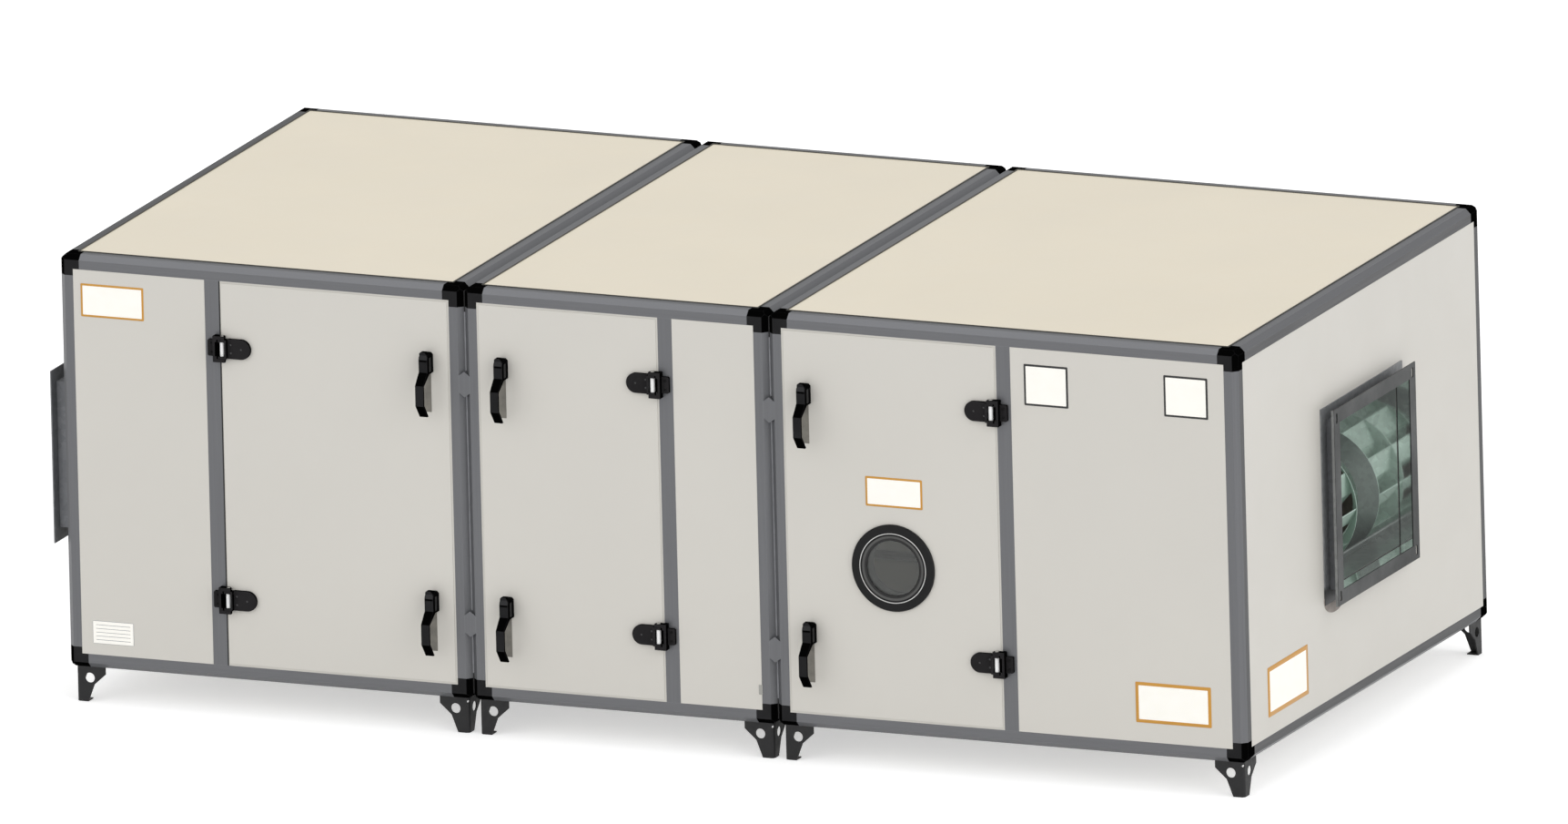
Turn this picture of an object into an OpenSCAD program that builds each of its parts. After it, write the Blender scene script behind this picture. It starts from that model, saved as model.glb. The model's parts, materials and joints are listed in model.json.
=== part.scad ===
// Horizontal air handling unit: three bolted casing sections with panels, doors, feet,
// duct connectors and a double-inlet centrifugal fan. Millimetres, +Z up, on the floor at z = 0.

/* [Casing] */
// Length of the left section
left_len = 1027; // [800:1:1600]
// Length of the middle section
mid_len = 775; // [600:1:1200]
// Length of the right section, which holds the fan
right_len = 1198; // [1100:1:1800]
// Depth of the casing from front to back
casing_w = 1450; // [1200:1:1800]
// Height of the casing above its feet
casing_h = 1000; // [900:1:1300]
// Thickness of the gasket between two sections
section_gap = 3; // [2:0.5:6]
// Thickness of the insulated panels
panel_t = 30; // [25:1:50]
// Clearance between a panel and the rails around it
panel_fit = 0.3; // [0.1:0.1:0.8]

/* [Frame] */
// Visible width of a frame rail
rail = 34; // [30:1:45]
// Chamfer on the outer edge of a rail
rail_chamfer = 12.5; // [5:0.5:15]
// Width of the lip that a panel sits against
lip_w = 14; // [8:1:20]
// Thickness of that lip
lip_t = 4; // [2:0.5:6]
// Length of a corner piece's arms
corner_arm = 50; // [48:1:80]
// Visible width of the post between a door and a fixed panel
post_w = 36; // [34:1:60]
// Length of a section clamp
clamp_len = 62; // [40:1:90]
// Height of the lower section clamps above the casing's bottom
clamp_low = 183; // [120:1:350]
// Depth of the upper section clamps below the casing's top
clamp_down = 236; // [150:1:350]

/* [Doors] */
// Width of the fixed panel beside the left door
left_fixed_w = 335.5; // [250:0.5:450]
// Width of the fixed panel beside the middle door
mid_fixed_w = 208.7; // [150:0.1:260]
// Width of the fixed panel beside the right door
right_fixed_w = 546; // [450:1:620]
// Gap all round a door
door_gap = 5; // [5:0.5:8]
// Depth of the raised pan on the inside of a door
door_pan = 8; // [4:1:14]
// Border of the door around that pan
door_border = 24; // [20:1:40]

/* [Hinges] */
// Height of the hinges above and below the middle of the door
hinge_rise = 305; // [200:1:340]
// Distance from the pin to the face of the casing
pin_out = 11; // [11:0.5:14]
// Distance from the edge of the door to the pin
pin_in = 6; // [4:0.5:9]
// Radius of the hinge pins
pin_r = 4.5; // [3.5:0.5:5.5]
// Radial clearance of a pin in the door's lug
pin_fit = 0.3; // [0.2:0.1:0.5]
// Radius of the arms and lugs around a pin
knuckle_r = 8; // [7.5:0.5:9.5]
// Height of the whole hinge block
knuckle_h = 63; // [60:1:80]
// Height of the window through the block
hinge_window = 35; // [30:1:38]
// Height of each of the door's two lugs
lug_h = 5.5; // [4:0.5:6.5]
// Length of the leaf on the door, with its round end
leaf_len = 57; // [50:1:75]
// Height of the leaf on the door
leaf_h = 48; // [44:1:56]
// Thickness of the leaf on the door
leaf_t = 8; // [6:1:10]

/* [Handles] */
// Depth of the upper handle's pivot below the casing's top
handle_down = 186; // [150:1:250]
// Height of the lower handle's pivot above the casing's bottom
handle_low = 235; // [200:1:330]
// Distance from the left door's pivots to its free edge
left_handle_in = 48.5; // [45:0.5:90]
// Distance from the middle door's pivots to its free edge
mid_handle_in = 61.5; // [45:0.5:90]
// Distance from the right door's pivots to its free edge
right_handle_in = 56.5; // [45:0.5:90]
// Width of the lever's head
lever_w = 22; // [22:1:30]
// Width of the lever's grip
grip_w = 20.5; // [16:0.5:21.5]
// Length of the lever below its pivot
lever_len = 126; // [115:1:150]
// How far the grip stands out from the door
lever_out = 62; // [50:1:70]
// Thickness of the seat under a lever
handle_seat = 6; // [4:0.5:8]

/* [Porthole] */
// Outer diameter of the porthole's ring
porthole_d = 210; // [200:1:245]
// Diameter of the clear glass
porthole_view_d = 134; // [110:1:150]
// Height of the porthole's centre above the casing's bottom
porthole_z = 406; // [350:1:550]
// Thickness of the glass
glass_t = 6; // [4:1:10]
// How far the ring stands out from the door
porthole_out = 7; // [6:1:12]

/* [Feet] */
// Height of the feet
foot_h = 85; // [70:1:120]
// Width of a foot's plate at its top
foot_w = 74; // [70:1:90]
// Width of a foot's plate at the floor
foot_base_w = 29; // [25:1:36]
// Sheet thickness of a foot
foot_t = 3; // [2:0.5:5]
// Diameter of the hole in a foot's plate
foot_hole_d = 24; // [16:1:26]

/* [Duct connectors] */
// Distance from the inlet flange to the front and the back of the casing
inlet_side = 23; // [20:1:200]
// Height of the inlet flange
inlet_h = 417; // [300:1:600]
// Height of the inlet's centre above the casing's bottom
inlet_z = 498; // [450:1:550]
// Width of the outlet flange
outlet_w = 487; // [460:1:520]
// Height of the outlet flange
outlet_h = 475; // [465:1:500]
// Height of the outlet's centre above the casing's bottom
outlet_z = 503; // [480:1:540]
// Width of the flange strip
flange_w = 35; // [30:1:40]
// Thickness of the flange sheet
flange_t = 3; // [2:0.5:5]
// How far the inlet stands out from the left end of the casing
inlet_out = 41; // [25:1:80]
// How far the outlet stands out from the right end of the casing
outlet_out = 36; // [25:1:80]
// Sheet thickness of the sleeve between two flanges
sleeve_t = 3; // [2:0.5:4]
// Width of the flange's bolt slots
flange_slot_w = 9; // [7:0.5:11]
// Length of the flange's bolt slots
flange_slot_len = 25; // [15:1:28]

/* [Fan] */
// Radius of the fan wheel
wheel_r = 159; // [145:1:162]
// Distance from the wheel's middle to its rim on each side
wheel_rim_w = 140; // [120:1:145]
// Distance from the wheel's middle to its eye on each side
wheel_eye_w = 192; // [175:1:194]
// Radius of the wheel's eye
wheel_eye_r = 127; // [120:1:132]
// Number of blades on each side of the wheel
blades = 11; // [8:1:14]
// Thickness of a blade
blade_t = 2.5; // [2:0.5:4]
// Radius of the blades' inner edge
blade_in_r = 96; // [85:1:105]
// Angle from a blade's inner edge back to its tip
blade_lean = 34; // [20:1:45]
// Gap between the wheel and the tongue of the scroll
tongue_gap = 16; // [12:1:22]
// Growth of the scroll's radius in each quarter turn
scroll_step = 43.7; // [38:0.1:45]
// Sheet thickness of the fan's housing
fan_sheet = 2; // [1.5:0.5:3]
// Clearance around the scroll's mouth in the end panel
mouth_fit = 0.5; // [0.3:0.1:2]
// Distance from the fan's shaft to the right end of the casing
shaft_back = 236; // [230:1:320]
// Radius of the shaft
shaft_r = 15; // [12:0.5:20]
// Distance from a side plate to its bearing bar
bearing_out = 40; // [34:1:60]
// Width of a bearing bar
bearing_bar_w = 46; // [40:1:60]
// Height of the base rails under the fan
base_rail_h = 60; // [40:1:80]
// Height of the rubber pads under the base rails
pad_h = 15; // [10:1:25]

/* [Hidden] */
$fn = 64;

// A small overshoot for cuts
cut = 1;

// Sections, left to right
section_lens = [left_len, mid_len, right_len];
section_x = [0, left_len + section_gap, left_len + mid_len + 2 * section_gap];
casing_l = left_len + mid_len + right_len + 2 * section_gap;

// The origin lies on the floor, at the middle of the whole outline
origin_x = (casing_l + outlet_out - inlet_out) / 2;
origin_y = (casing_w - lever_out) / 2;

// Doors: hinge side, opening and leaf, left to right
fixed_ws = [left_fixed_w, mid_fixed_w, right_fixed_w];
hinge_side = [-1, 1, 1];
function section_end(i) = section_x[i] + section_lens[i];
function fixed_x(i) = hinge_side[i] < 0 ? section_x[i] + rail : section_end(i) - rail - fixed_ws[i];
function post_x(i) = hinge_side[i] < 0 ? fixed_x(i) + fixed_ws[i] : fixed_x(i) - post_w;
function open_x(i) = hinge_side[i] < 0 ? post_x(i) + post_w : section_x[i] + rail;
function open_w(i) = section_lens[i] - 2 * rail - fixed_ws[i] - post_w;
function door_w(i) = open_w(i) - 2 * door_gap;
function door_x(i) = open_x(i) + door_gap;
function pin_x(i) = hinge_side[i] < 0 ? door_x(i) + pin_in : door_x(i) + door_w(i) - pin_in;
handle_ins = [left_handle_in, mid_handle_in, right_handle_in];
function handle_x(i) = hinge_side[i] < 0 ? door_x(i) + door_w(i) - handle_ins[i] : door_x(i) + handle_ins[i];
opening_h = casing_h - 2 * rail;
door_t = panel_t - door_gap;
hinge_zs = [casing_h / 2 - hinge_rise, casing_h / 2 + hinge_rise];
handle_high = casing_h - handle_down;
clamp_high = casing_h - clamp_down;

// Hinge block: the frame's share stands on the post and its arms reach over the gap to the pins
block_seat = 10.5;
block_frame = pin_in + door_gap + block_seat;
block_door = 12.5;
block_out = 19;
block_front = pin_out - block_out;
window_edge = 6;
web_t = 5.5;
bracket_len = 18;
bracket_h = 40;
bracket_t = 7;
bracket_corner = 2.5;
knuckle_fit = 0.6;
lug_sweep = knuckle_r * sqrt(2) + knuckle_fit;
arm_h = (knuckle_h - hinge_window) / 2 - lug_h - knuckle_fit;
leaf_screw_d = 5;
leaf_screw_deep = 1.5;
leaf_screws = [[20, -10], [20, 10], [46, 0]];

// Lever: the head over the pivot and the bent grip below it
lever_fit = 0.3;
head_up = 23;
head_down = 25;
head_out = 36;
head_bevel = 4;
head_slope = 12;
head_chamfer = 5;
neck_top = 19;
neck_in = 12;
grip_top = 46;
tail_drop = 31;
tail_out = 38.5;
grip_t = 6;

// Porthole: glass clamped between an outer and an inner ring
ring_wall = 8;
ring_fit = 0.3;
porthole_x = door_x(2) + door_w(2) / 2;
porthole_view_r = porthole_view_d / 2;
porthole_hole_r = porthole_view_r + ring_wall;
door_depth = door_t + door_pan;
ring_lip = 3;
ring_lip_edge = 1;
glass_y = ring_lip - porthole_out;
ring_edge = 1.5;
ring_slope = 14;
ring_band = 20;
ring_groove_w = 2.5;
ring_groove_deep = 1.5;

// Foot outline
foot_top = 17;
foot_waist = 43;
foot_waist_w = 45;
foot_bend = 9;
foot_relief_d = 6;
foot_hole_in = 34;
foot_hole_down = 27;
foot_top_flange = 46;

// Edge left between a flange's bolt slot and its corner
flange_slot_down = 10;

// Outlet: the scroll's mouth passes through the end panel
outlet_open_w = outlet_w - 2 * flange_w;
outlet_open_h = outlet_h - 2 * flange_w;
inlet_w = casing_w - 2 * inlet_side;
inlet_open_w = inlet_w - 2 * flange_w;
inlet_open_h = inlet_h - 2 * flange_w;
mid_y = casing_w / 2;

// Scroll: three quarter arcs whose centres are corners of a square around the shaft
mouth_w = outlet_open_w - 2 * mouth_fit;
mouth_top = outlet_z + outlet_open_h / 2 - mouth_fit;
mouth_bottom = outlet_z - outlet_open_h / 2 + mouth_fit;
arc_r = [for (i = [0:2]) wheel_r + tongue_gap + scroll_step / 2 + i * scroll_step];
shaft_x = casing_l - shaft_back;
shaft_z = mouth_top - fan_sheet - arc_r[2] - scroll_step / 2;
arc_centre = [for (s = [[-1, -1], [-1, 1], [1, 1]]) s * scroll_step / 2];
scroll_in_w = mouth_w - 2 * fan_sheet;
inlet_ring_r = wheel_eye_r - 6;
bell_r = 26;
base_top = panel_t + pad_h + base_rail_h;
skirt_w = 300;
base_rail_w = 40;
pad_r = 18;
bearing_r = 34;
bearing_len = 36;
shaft_fit = 0.3;
hub_r = 38;
hub_len = 90;
disc_t = 3;
shroud_t = 2.5;

// Colours
grey = [0.44, 0.44, 0.46];
pale = [0.84, 0.82, 0.80];
cream = [0.89, 0.86, 0.79];
black = [0.14, 0.14, 0.14];
steel = [0.82, 0.82, 0.82];
dark_steel = [0.37, 0.38, 0.38];
green_grey = [0.46, 0.54, 0.50];

// Moves a shape from the casing's front bottom left corner to the origin's frame
module unit() {
    translate([-origin_x, -origin_y, foot_h]) children();
}

// Turns a shape that runs along Z so that it runs along X (0), Y (1) or Z (2)
module along(axis) {
    if (axis == 0) rotate([90, 0, 90]) children();
    else if (axis == 1) rotate([90, 0, 90]) rotate([90, 0, 90]) children();
    else children();
}

// Mirrors a shape on each axis that is 1 in f
module flip(f) {
    mirror([f[0], 0, 0]) mirror([0, f[1], 0]) mirror([0, 0, f[2]]) children();
}

// Puts copies of a shape, drawn at the origin's corner of a box, at the corners in flips
module at_corners(size, flips) {
    for (f = flips)
        translate([f[0] * size[0], f[1] * size[1], f[2] * size[2]]) flip(f) children();
}

// The box of section i, as a size
function section_size(i) = [section_lens[i], casing_w, casing_h];

// The four edges that run along an axis, as flips of the box
function edge_flips(axis) = [for (s = [0, 1], t = [0, 1])
    axis == 0 ? [0, s, t] : axis == 1 ? [s, 0, t] : [s, t, 0]];
all_flips = [for (a = [0, 1], b = [0, 1], c = [0, 1]) [a, b, c]];

// Frame

module rail_profile() {
    reach = rail + lip_w;
    seat = panel_t + lip_t;
    polygon([[rail_chamfer, 0], [rail, 0], [rail, panel_t], [reach, panel_t], [reach, seat],
        [seat, seat], [seat, reach], [panel_t, reach], [panel_t, rail], [0, rail], [0, rail_chamfer]]);
}

module section_frame(i) {
    size = section_size(i);
    translate([section_x[i], 0, 0])
        for (axis = [0:2])
            at_corners(size, edge_flips(axis))
                along(axis)
                    translate([0, 0, corner_arm])
                        linear_extrude(size[axis] - 2 * corner_arm)
                            rail_profile();
}

module left_frame() { color(grey) unit() section_frame(0); }

module middle_frame() { color(grey) unit() section_frame(1); }

module right_frame() { color(grey) unit() section_frame(2); }

// One three-armed corner piece with the rails' chamfer carried round it
module corner_piece() {
    difference() {
        union() {
            cube([corner_arm, rail, rail]);
            cube([rail, corner_arm, rail]);
            cube([rail, rail, corner_arm]);
        }
        for (axis = [0:2])
            along(axis)
                translate([0, 0, -cut])
                    linear_extrude(corner_arm + 2 * cut)
                        polygon([[-cut, -cut], [rail_chamfer + cut, -cut], [-cut, rail_chamfer + cut]]);
    }
}

module frame_corners() {
    color(black) unit()
        for (i = [0:2])
            translate([section_x[i], 0, 0])
                at_corners(section_size(i), all_flips)
                    corner_piece();
}

// A post has the rails' lips on both sides
module door_posts() {
    color(grey) unit()
        for (i = [0:2])
            translate([post_x(i), 0, rail]) {
                cube([post_w, panel_t, opening_h]);
                translate([-lip_w, panel_t, lip_w])
                    cube([post_w + 2 * lip_w, lip_t, opening_h - 2 * lip_w]);
            }
}

// A gasket fills the flat ends of two rails
module section_gaskets() {
    outer_y = casing_w - 2 * rail_chamfer;
    outer_z = casing_h - 2 * rail_chamfer;
    color(black) unit()
        for (i = [0:1])
            translate([section_end(i), 0, 0])
                difference() {
                    translate([0, rail_chamfer, rail_chamfer]) cube([section_gap, outer_y, outer_z]);
                    translate([-cut, rail, rail])
                        cube([section_gap + 2 * cut, casing_w - 2 * rail, casing_h - 2 * rail]);
                }
}

// A clamp is a wedge with pointed ends, seated in the groove between two sections
module clamp_plate() {
    half = rail_chamfer + section_gap / 2;
    depth = rail_chamfer;
    intersection() {
        translate([0, 0, -clamp_len / 2])
            linear_extrude(clamp_len)
                polygon([[-half, 0], [half, 0], [section_gap / 2, depth], [-section_gap / 2, depth]]);
        rotate([90, 0, 0])
            translate([0, 0, -depth])
                linear_extrude(2 * depth)
                    polygon([[0, -clamp_len / 2], [half, -clamp_len / 3], [half, clamp_len / 3],
                        [0, clamp_len / 2], [-half, clamp_len / 3], [-half, -clamp_len / 3]]);
    }
}

module section_clamps() {
    color(grey) unit()
        for (i = [0:1], z = [clamp_low, clamp_high], f = [0, 1])
            translate([section_end(i) + section_gap / 2, f * casing_w, z])
                flip([0, f, 0]) clamp_plate();
}

// Panels

// A panel between two rails, with its clearance, that fills a cube from a to b
module panel_box(a, b, tight) {
    fit = [for (k = [0:2]) tight[k] * panel_fit];
    translate(a + fit) cube(b - a - 2 * fit);
}

module fixed_panels() {
    color(pale) unit()
        for (i = [0:2])
            panel_box([fixed_x(i), 0, rail], [fixed_x(i) + fixed_ws[i], panel_t, casing_h - rail], [1, 0, 1]);
}

module back_panels() {
    color(pale) unit()
        for (i = [0:2])
            panel_box([section_x[i] + rail, casing_w - panel_t, rail],
                [section_end(i) - rail, casing_w, casing_h - rail], [1, 0, 1]);
}

module flat_panels(z) {
    for (i = [0:2])
        panel_box([section_x[i] + rail, rail, z],
            [section_end(i) - rail, casing_w - rail, z + panel_t], [1, 1, 0]);
}

module roof_panels() { color(cream) unit() flat_panels(casing_h - panel_t); }

module floor_panels() { color(pale) unit() flat_panels(0); }

// An end panel with a duct opening of the given width and height
module end_panel(x, w, h, z) {
    difference() {
        panel_box([x, rail, rail], [x + panel_t, casing_w - rail, casing_h - rail], [0, 1, 1]);
        translate([x - cut, mid_y - w / 2, z - h / 2]) cube([panel_t + 2 * cut, w, h]);
    }
}

module left_end_panel() { color(pale) unit() end_panel(0, inlet_open_w, inlet_open_h, inlet_z); }

module right_end_panel() {
    color(pale) unit() end_panel(casing_l - panel_t, outlet_open_w, outlet_open_h, outlet_z);
}

// Feet

module foot_outline() {
    polygon([[foot_bend, foot_h], [foot_w, foot_h], [foot_w, foot_h - foot_top],
        [foot_waist_w, foot_h - foot_waist], [foot_base_w, 0], [foot_bend, 0]]);
}

// One plate of a foot, in the XZ plane
module foot_plate() {
    difference() {
        translate([0, foot_t, 0]) rotate([90, 0, 0]) linear_extrude(foot_t) foot_outline();
        translate([foot_hole_in, -cut, foot_h - foot_hole_down])
            rotate([-90, 0, 0]) cylinder(d = foot_hole_d, h = foot_t + 2 * cut);
    }
}

// The bend between the two plates, with a relief hole at its top
module foot_corner() {
    difference() {
        intersection() {
            translate([foot_bend, foot_bend, 0])
                difference() {
                    cylinder(r = foot_bend, h = foot_h);
                    translate([0, 0, -cut]) cylinder(r = foot_bend - foot_t, h = foot_h + 2 * cut);
                }
            cube([foot_bend, foot_bend, foot_h]);
        }
        translate([0, 0, foot_h - foot_t - foot_relief_d])
            rotate([0, 90, 45]) cylinder(d = foot_relief_d, h = foot_bend);
    }
}

module foot() {
    foot_plate();
    mirror([1, -1, 0]) foot_plate();
    foot_corner();
    // the small flange that stands on the floor and the larger one under the casing
    for (level = [[0, foot_base_w], [foot_h - foot_t, foot_top_flange]])
        translate([foot_t, foot_t, level[0]]) cube([level[1] - foot_t, level[1] - foot_t, foot_t]);
}

module feet() {
    color(black) unit()
        translate([0, 0, -foot_h])
            for (i = [0:2])
                translate([section_x[i], 0, 0])
                    at_corners([section_lens[i], casing_w, 0], edge_flips(2))
                        translate([rail_chamfer, rail_chamfer, 0]) foot();
}

// Duct connectors

// A flat rectangular frame in the YZ plane, centred on the duct, from x to x + t
module duct_frame(x, t, w, h, strip, z) {
    translate([x, mid_y, z])
        difference() {
            translate([0, -w / 2, -h / 2]) cube([t, w, h]);
            translate([-cut, -w / 2 + strip, -h / 2 + strip]) cube([t + 2 * cut, w - 2 * strip, h - 2 * strip]);
        }
}

// An upright slot with round ends through a flange, centred on y = 0 and z = 0
module flange_slot() {
    half = (flange_slot_len - flange_slot_w) / 2;
    depth = flange_t + 2 * cut;
    translate([-cut, -flange_slot_w / 2, -half]) cube([depth, flange_slot_w, 2 * half]);
    for (s = [-1, 1])
        translate([-cut, 0, s * half]) rotate([0, 90, 0]) cylinder(d = flange_slot_w, h = depth);
}

// A flange with four bolt slots at slot_y and slot_z from its centre, turned by an angle from upright
module duct_flange(x, w, h, z, slot_y, slot_z, turn) {
    difference() {
        duct_frame(x, flange_t, w, h, flange_w, z);
        for (a = [-1, 1], b = [-1, 1])
            translate([x, mid_y + a * slot_y, z + b * slot_z]) rotate([turn, 0, 0]) flange_slot();
    }
}

// The inlet's slots lie along its long sides, the outlet's stand at its corners
inlet_sleeve_len = inlet_out - 2 * flange_t;
outlet_sleeve_len = outlet_out - 2 * flange_t;
inlet_slot_y = inlet_w / 4;
inlet_slot_z = (inlet_h - flange_w) / 2;
outlet_slot_y = (outlet_w - flange_w) / 2;
outlet_slot_z = (outlet_h - flange_slot_len) / 2 - flange_slot_down;

module inlet_inner_flange() {
    color(dark_steel) unit() duct_frame(-flange_t, flange_t, inlet_w, inlet_h, flange_w, inlet_z);
}

module inlet_sleeve() {
    color(dark_steel) unit()
        duct_frame(-flange_t - inlet_sleeve_len, inlet_sleeve_len, inlet_open_w + 2 * sleeve_t,
            inlet_open_h + 2 * sleeve_t, sleeve_t, inlet_z);
}

module inlet_outer_flange() {
    color(dark_steel) unit()
        duct_flange(-inlet_out, inlet_w, inlet_h, inlet_z, inlet_slot_y, inlet_slot_z, 90);
}

module outlet_inner_flange() {
    color(dark_steel) unit() duct_frame(casing_l, flange_t, outlet_w, outlet_h, flange_w, outlet_z);
}

module outlet_sleeve() {
    color(dark_steel) unit()
        duct_frame(casing_l + flange_t, outlet_sleeve_len, outlet_open_w + 2 * sleeve_t,
            outlet_open_h + 2 * sleeve_t, sleeve_t, outlet_z);
}

module outlet_outer_flange() {
    color(dark_steel) unit()
        duct_flange(casing_l + outlet_out - flange_t, outlet_w, outlet_h, outlet_z,
            outlet_slot_y, outlet_slot_z, 0);
}

// Hinges: drawn with the pins' axis at the origin, the door towards +X and the casing's face at y = pin_out

// Places a hinge part at both hinges of door i
module at_hinges(i) {
    for (z = hinge_zs)
        translate([pin_x(i), -pin_out, z]) flip([hinge_side[i] > 0 ? 1 : 0, 0, 0]) children();
}

// A small leaf with two bevelled corners at its outer end
module bracket_leaf() {
    end = -block_frame - bracket_len;
    half = bracket_h / 2;
    c = bracket_corner;
    translate([0, pin_out, 0])
        rotate([90, 0, 0])
            linear_extrude(bracket_t)
                polygon([[-block_frame, -half], [-block_frame, half], [end + c, half], [end, half - c],
                    [end, -half + c], [end + c, -half]]);
}

// The frame's share: a leaf on the post, a web and two arms
module hinge_bracket() {
    difference() {
        union() {
            bracket_leaf();
            translate([-block_frame, block_front, -knuckle_h / 2]) cube([web_t, block_out, knuckle_h]);
            for (z = [-knuckle_h / 2, hinge_window / 2])
                translate([-block_frame, block_front, z])
                    cube([block_frame - lug_sweep, block_out, (knuckle_h - hinge_window) / 2]);
            for (z = [-knuckle_h / 2, knuckle_h / 2 - arm_h]) {
                translate([-block_frame, block_front, z]) cube([block_frame, knuckle_r - block_front, arm_h]);
                translate([0, block_front, z]) cube([knuckle_r, -block_front, arm_h]);
                translate([0, 0, z]) cylinder(r = knuckle_r, h = arm_h);
            }
        }
        translate([0, 0, -knuckle_h / 2 - cut]) cylinder(r = pin_r, h = knuckle_h + 2 * cut);
    }
}

module hinge_brackets() {
    color(black) unit()
        for (i = [0:2]) at_hinges(i) hinge_bracket();
}

module hinge_pins() {
    color(steel) unit()
        for (i = [0:2])
            at_hinges(i)
                for (z = [-knuckle_h / 2, hinge_window / 2])
                    translate([0, 0, z]) cylinder(r = pin_r, h = (knuckle_h - hinge_window) / 2);
}

// The door's share: two lugs on the pins, with the window between them, and a leaf with a round end
module door_leaf() {
    straight = leaf_len - leaf_h / 2;
    difference() {
        union() {
            for (z = [-hinge_window / 2 - lug_h, hinge_window / 2])
                translate([0, 0, z]) {
                    cylinder(r = knuckle_r, h = lug_h);
                    translate([0, block_front, 0]) cube([block_door, block_out, lug_h]);
                    translate([-knuckle_r, block_front, 0]) cube([knuckle_r, -block_front, lug_h]);
                }
            translate([window_edge, pin_out - leaf_t, -hinge_window / 2])
                cube([block_door - window_edge, leaf_t, hinge_window]);
            translate([block_door, pin_out - leaf_t, -leaf_h / 2]) cube([straight, leaf_t, leaf_h]);
            translate([block_door + straight, pin_out, 0])
                rotate([90, 0, 0]) cylinder(d = leaf_h, h = leaf_t);
        }
        cylinder(r = pin_r + pin_fit, h = knuckle_h, center = true);
        for (place = leaf_screws)
            translate([place[0], pin_out - leaf_t - cut, place[1]])
                rotate([-90, 0, 0]) cylinder(d = leaf_screw_d, h = leaf_screw_deep + cut);
    }
}

// Doors

// A door panel with a raised pan on its inner side
module door_panel(i) {
    translate([door_x(i), 0, rail + door_gap]) {
        cube([door_w(i), door_t, opening_h - 2 * door_gap]);
        translate([door_border, door_t, door_border])
            cube([door_w(i) - 2 * door_border, door_pan, opening_h - 2 * door_gap - 2 * door_border]);
    }
}

module left_door() { color(pale) unit() door_panel(0); }

module middle_door() { color(pale) unit() door_panel(1); }

module right_door() {
    color(pale) unit()
        difference() {
            door_panel(2);
            translate([porthole_x, -cut, porthole_z])
                rotate([-90, 0, 0]) cylinder(r = porthole_hole_r + ring_fit, h = door_depth + 2 * cut);
        }
}

module left_door_leaves() { color(black) unit() at_hinges(0) door_leaf(); }

module middle_door_leaves() { color(black) unit() at_hinges(1) door_leaf(); }

module right_door_leaves() { color(black) unit() at_hinges(2) door_leaf(); }

// Porthole: the front ring's lip and the back ring's spigot hold the glass

module front_ring() {
    outer = porthole_d / 2;
    bore = porthole_hole_r + ring_fit;
    rotate_extrude($fn = 96)
        difference() {
            polygon([[bore, 0], [outer, 0], [outer, ring_edge - porthole_out], [outer - ring_edge, -porthole_out],
                [porthole_view_r + ring_slope, -porthole_out], [porthole_view_r, glass_y - ring_lip_edge],
                [porthole_view_r, glass_y], [bore, glass_y]]);
            translate([outer - ring_band - ring_groove_w, -porthole_out - cut])
                square([ring_groove_w, ring_groove_deep + cut]);
        }
}

module back_ring() {
    outer = porthole_d / 2;
    rotate_extrude($fn = 96) {
        translate([porthole_view_r, 0]) square([ring_wall, door_depth - glass_y - glass_t]);
        polygon([[porthole_view_r, 0], [outer, 0], [outer, ring_edge - porthole_out],
            [outer - ring_edge, -porthole_out], [porthole_view_r, -porthole_out]]);
    }
}

module porthole_rings() {
    color(black) unit()
        translate([porthole_x, 0, porthole_z]) {
            rotate([-90, 0, 0]) front_ring();
            translate([0, door_depth, 0]) rotate([90, 0, 0]) back_ring();
        }
}

module porthole_glass() {
    color([0.3, 0.32, 0.31, 0.5]) unit()
        translate([porthole_x, glass_y, porthole_z])
            rotate([-90, 0, 0]) cylinder(r = porthole_hole_r, h = glass_t);
}

// Handles: drawn with the pivot at the origin of the door's face, -Y outwards

// The plate between a door and a lever's head
module handle_seat_shape() {
    half = lever_w / 2;
    c = head_chamfer;
    rotate([90, 0, 0])
        linear_extrude(handle_seat)
            polygon([[-half, -head_down], [half, -head_down], [half, head_up - c], [half - c, head_up],
                [-half + c, head_up], [-half, head_up - c]]);
}

module handle_seats(i) {
    for (z = [handle_low, handle_high])
        translate([handle_x(i), 0, z]) handle_seat_shape();
}

module left_handle_seats() { color(black) unit() handle_seats(0); }

module middle_handle_seats() { color(black) unit() handle_seats(1); }

module right_handle_seats() { color(black) unit() handle_seats(2); }

// Side outline of the lever, as distance out from the door and height
module lever_side() {
    back = handle_seat + lever_fit;
    grip_end = tail_drop - lever_len;
    inner = lever_out - grip_t;
    polygon([[back, head_up], [head_out - head_bevel, head_up], [head_out, head_up - head_slope],
        [head_out, -neck_top], [lever_out, -grip_top], [lever_out, grip_end], [tail_out, -lever_len],
        [tail_out - grip_t, -lever_len], [inner, grip_end + grip_t / 4], [inner, -grip_top - grip_t / 4],
        [head_out - neck_in, -head_down], [back, -head_down]]);
}

// Front outline of the lever: the head is wider than the grip
module lever_front() {
    half = lever_w / 2;
    grip = grip_w / 2;
    step = half - grip;
    c = head_chamfer;
    polygon([[-grip, -lever_len + step], [-grip + step, -lever_len], [grip - step, -lever_len],
        [grip, -lever_len + step], [grip, -grip_top], [half, -head_down],
        [half, head_up - c], [half - c, head_up], [-half + c, head_up], [-half, head_up - c],
        [-half, -head_down], [-grip, -grip_top]]);
}

module lever(i, z) {
    color(black) unit()
        translate([handle_x(i), 0, z])
            intersection() {
                rotate([90, 0, -90])
                    translate([0, 0, -lever_w])
                        linear_extrude(2 * lever_w) lever_side();
                rotate([90, 0, 0]) linear_extrude(2 * lever_out) lever_front();
            }
}

module left_upper_lever() { lever(0, handle_high); }

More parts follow.
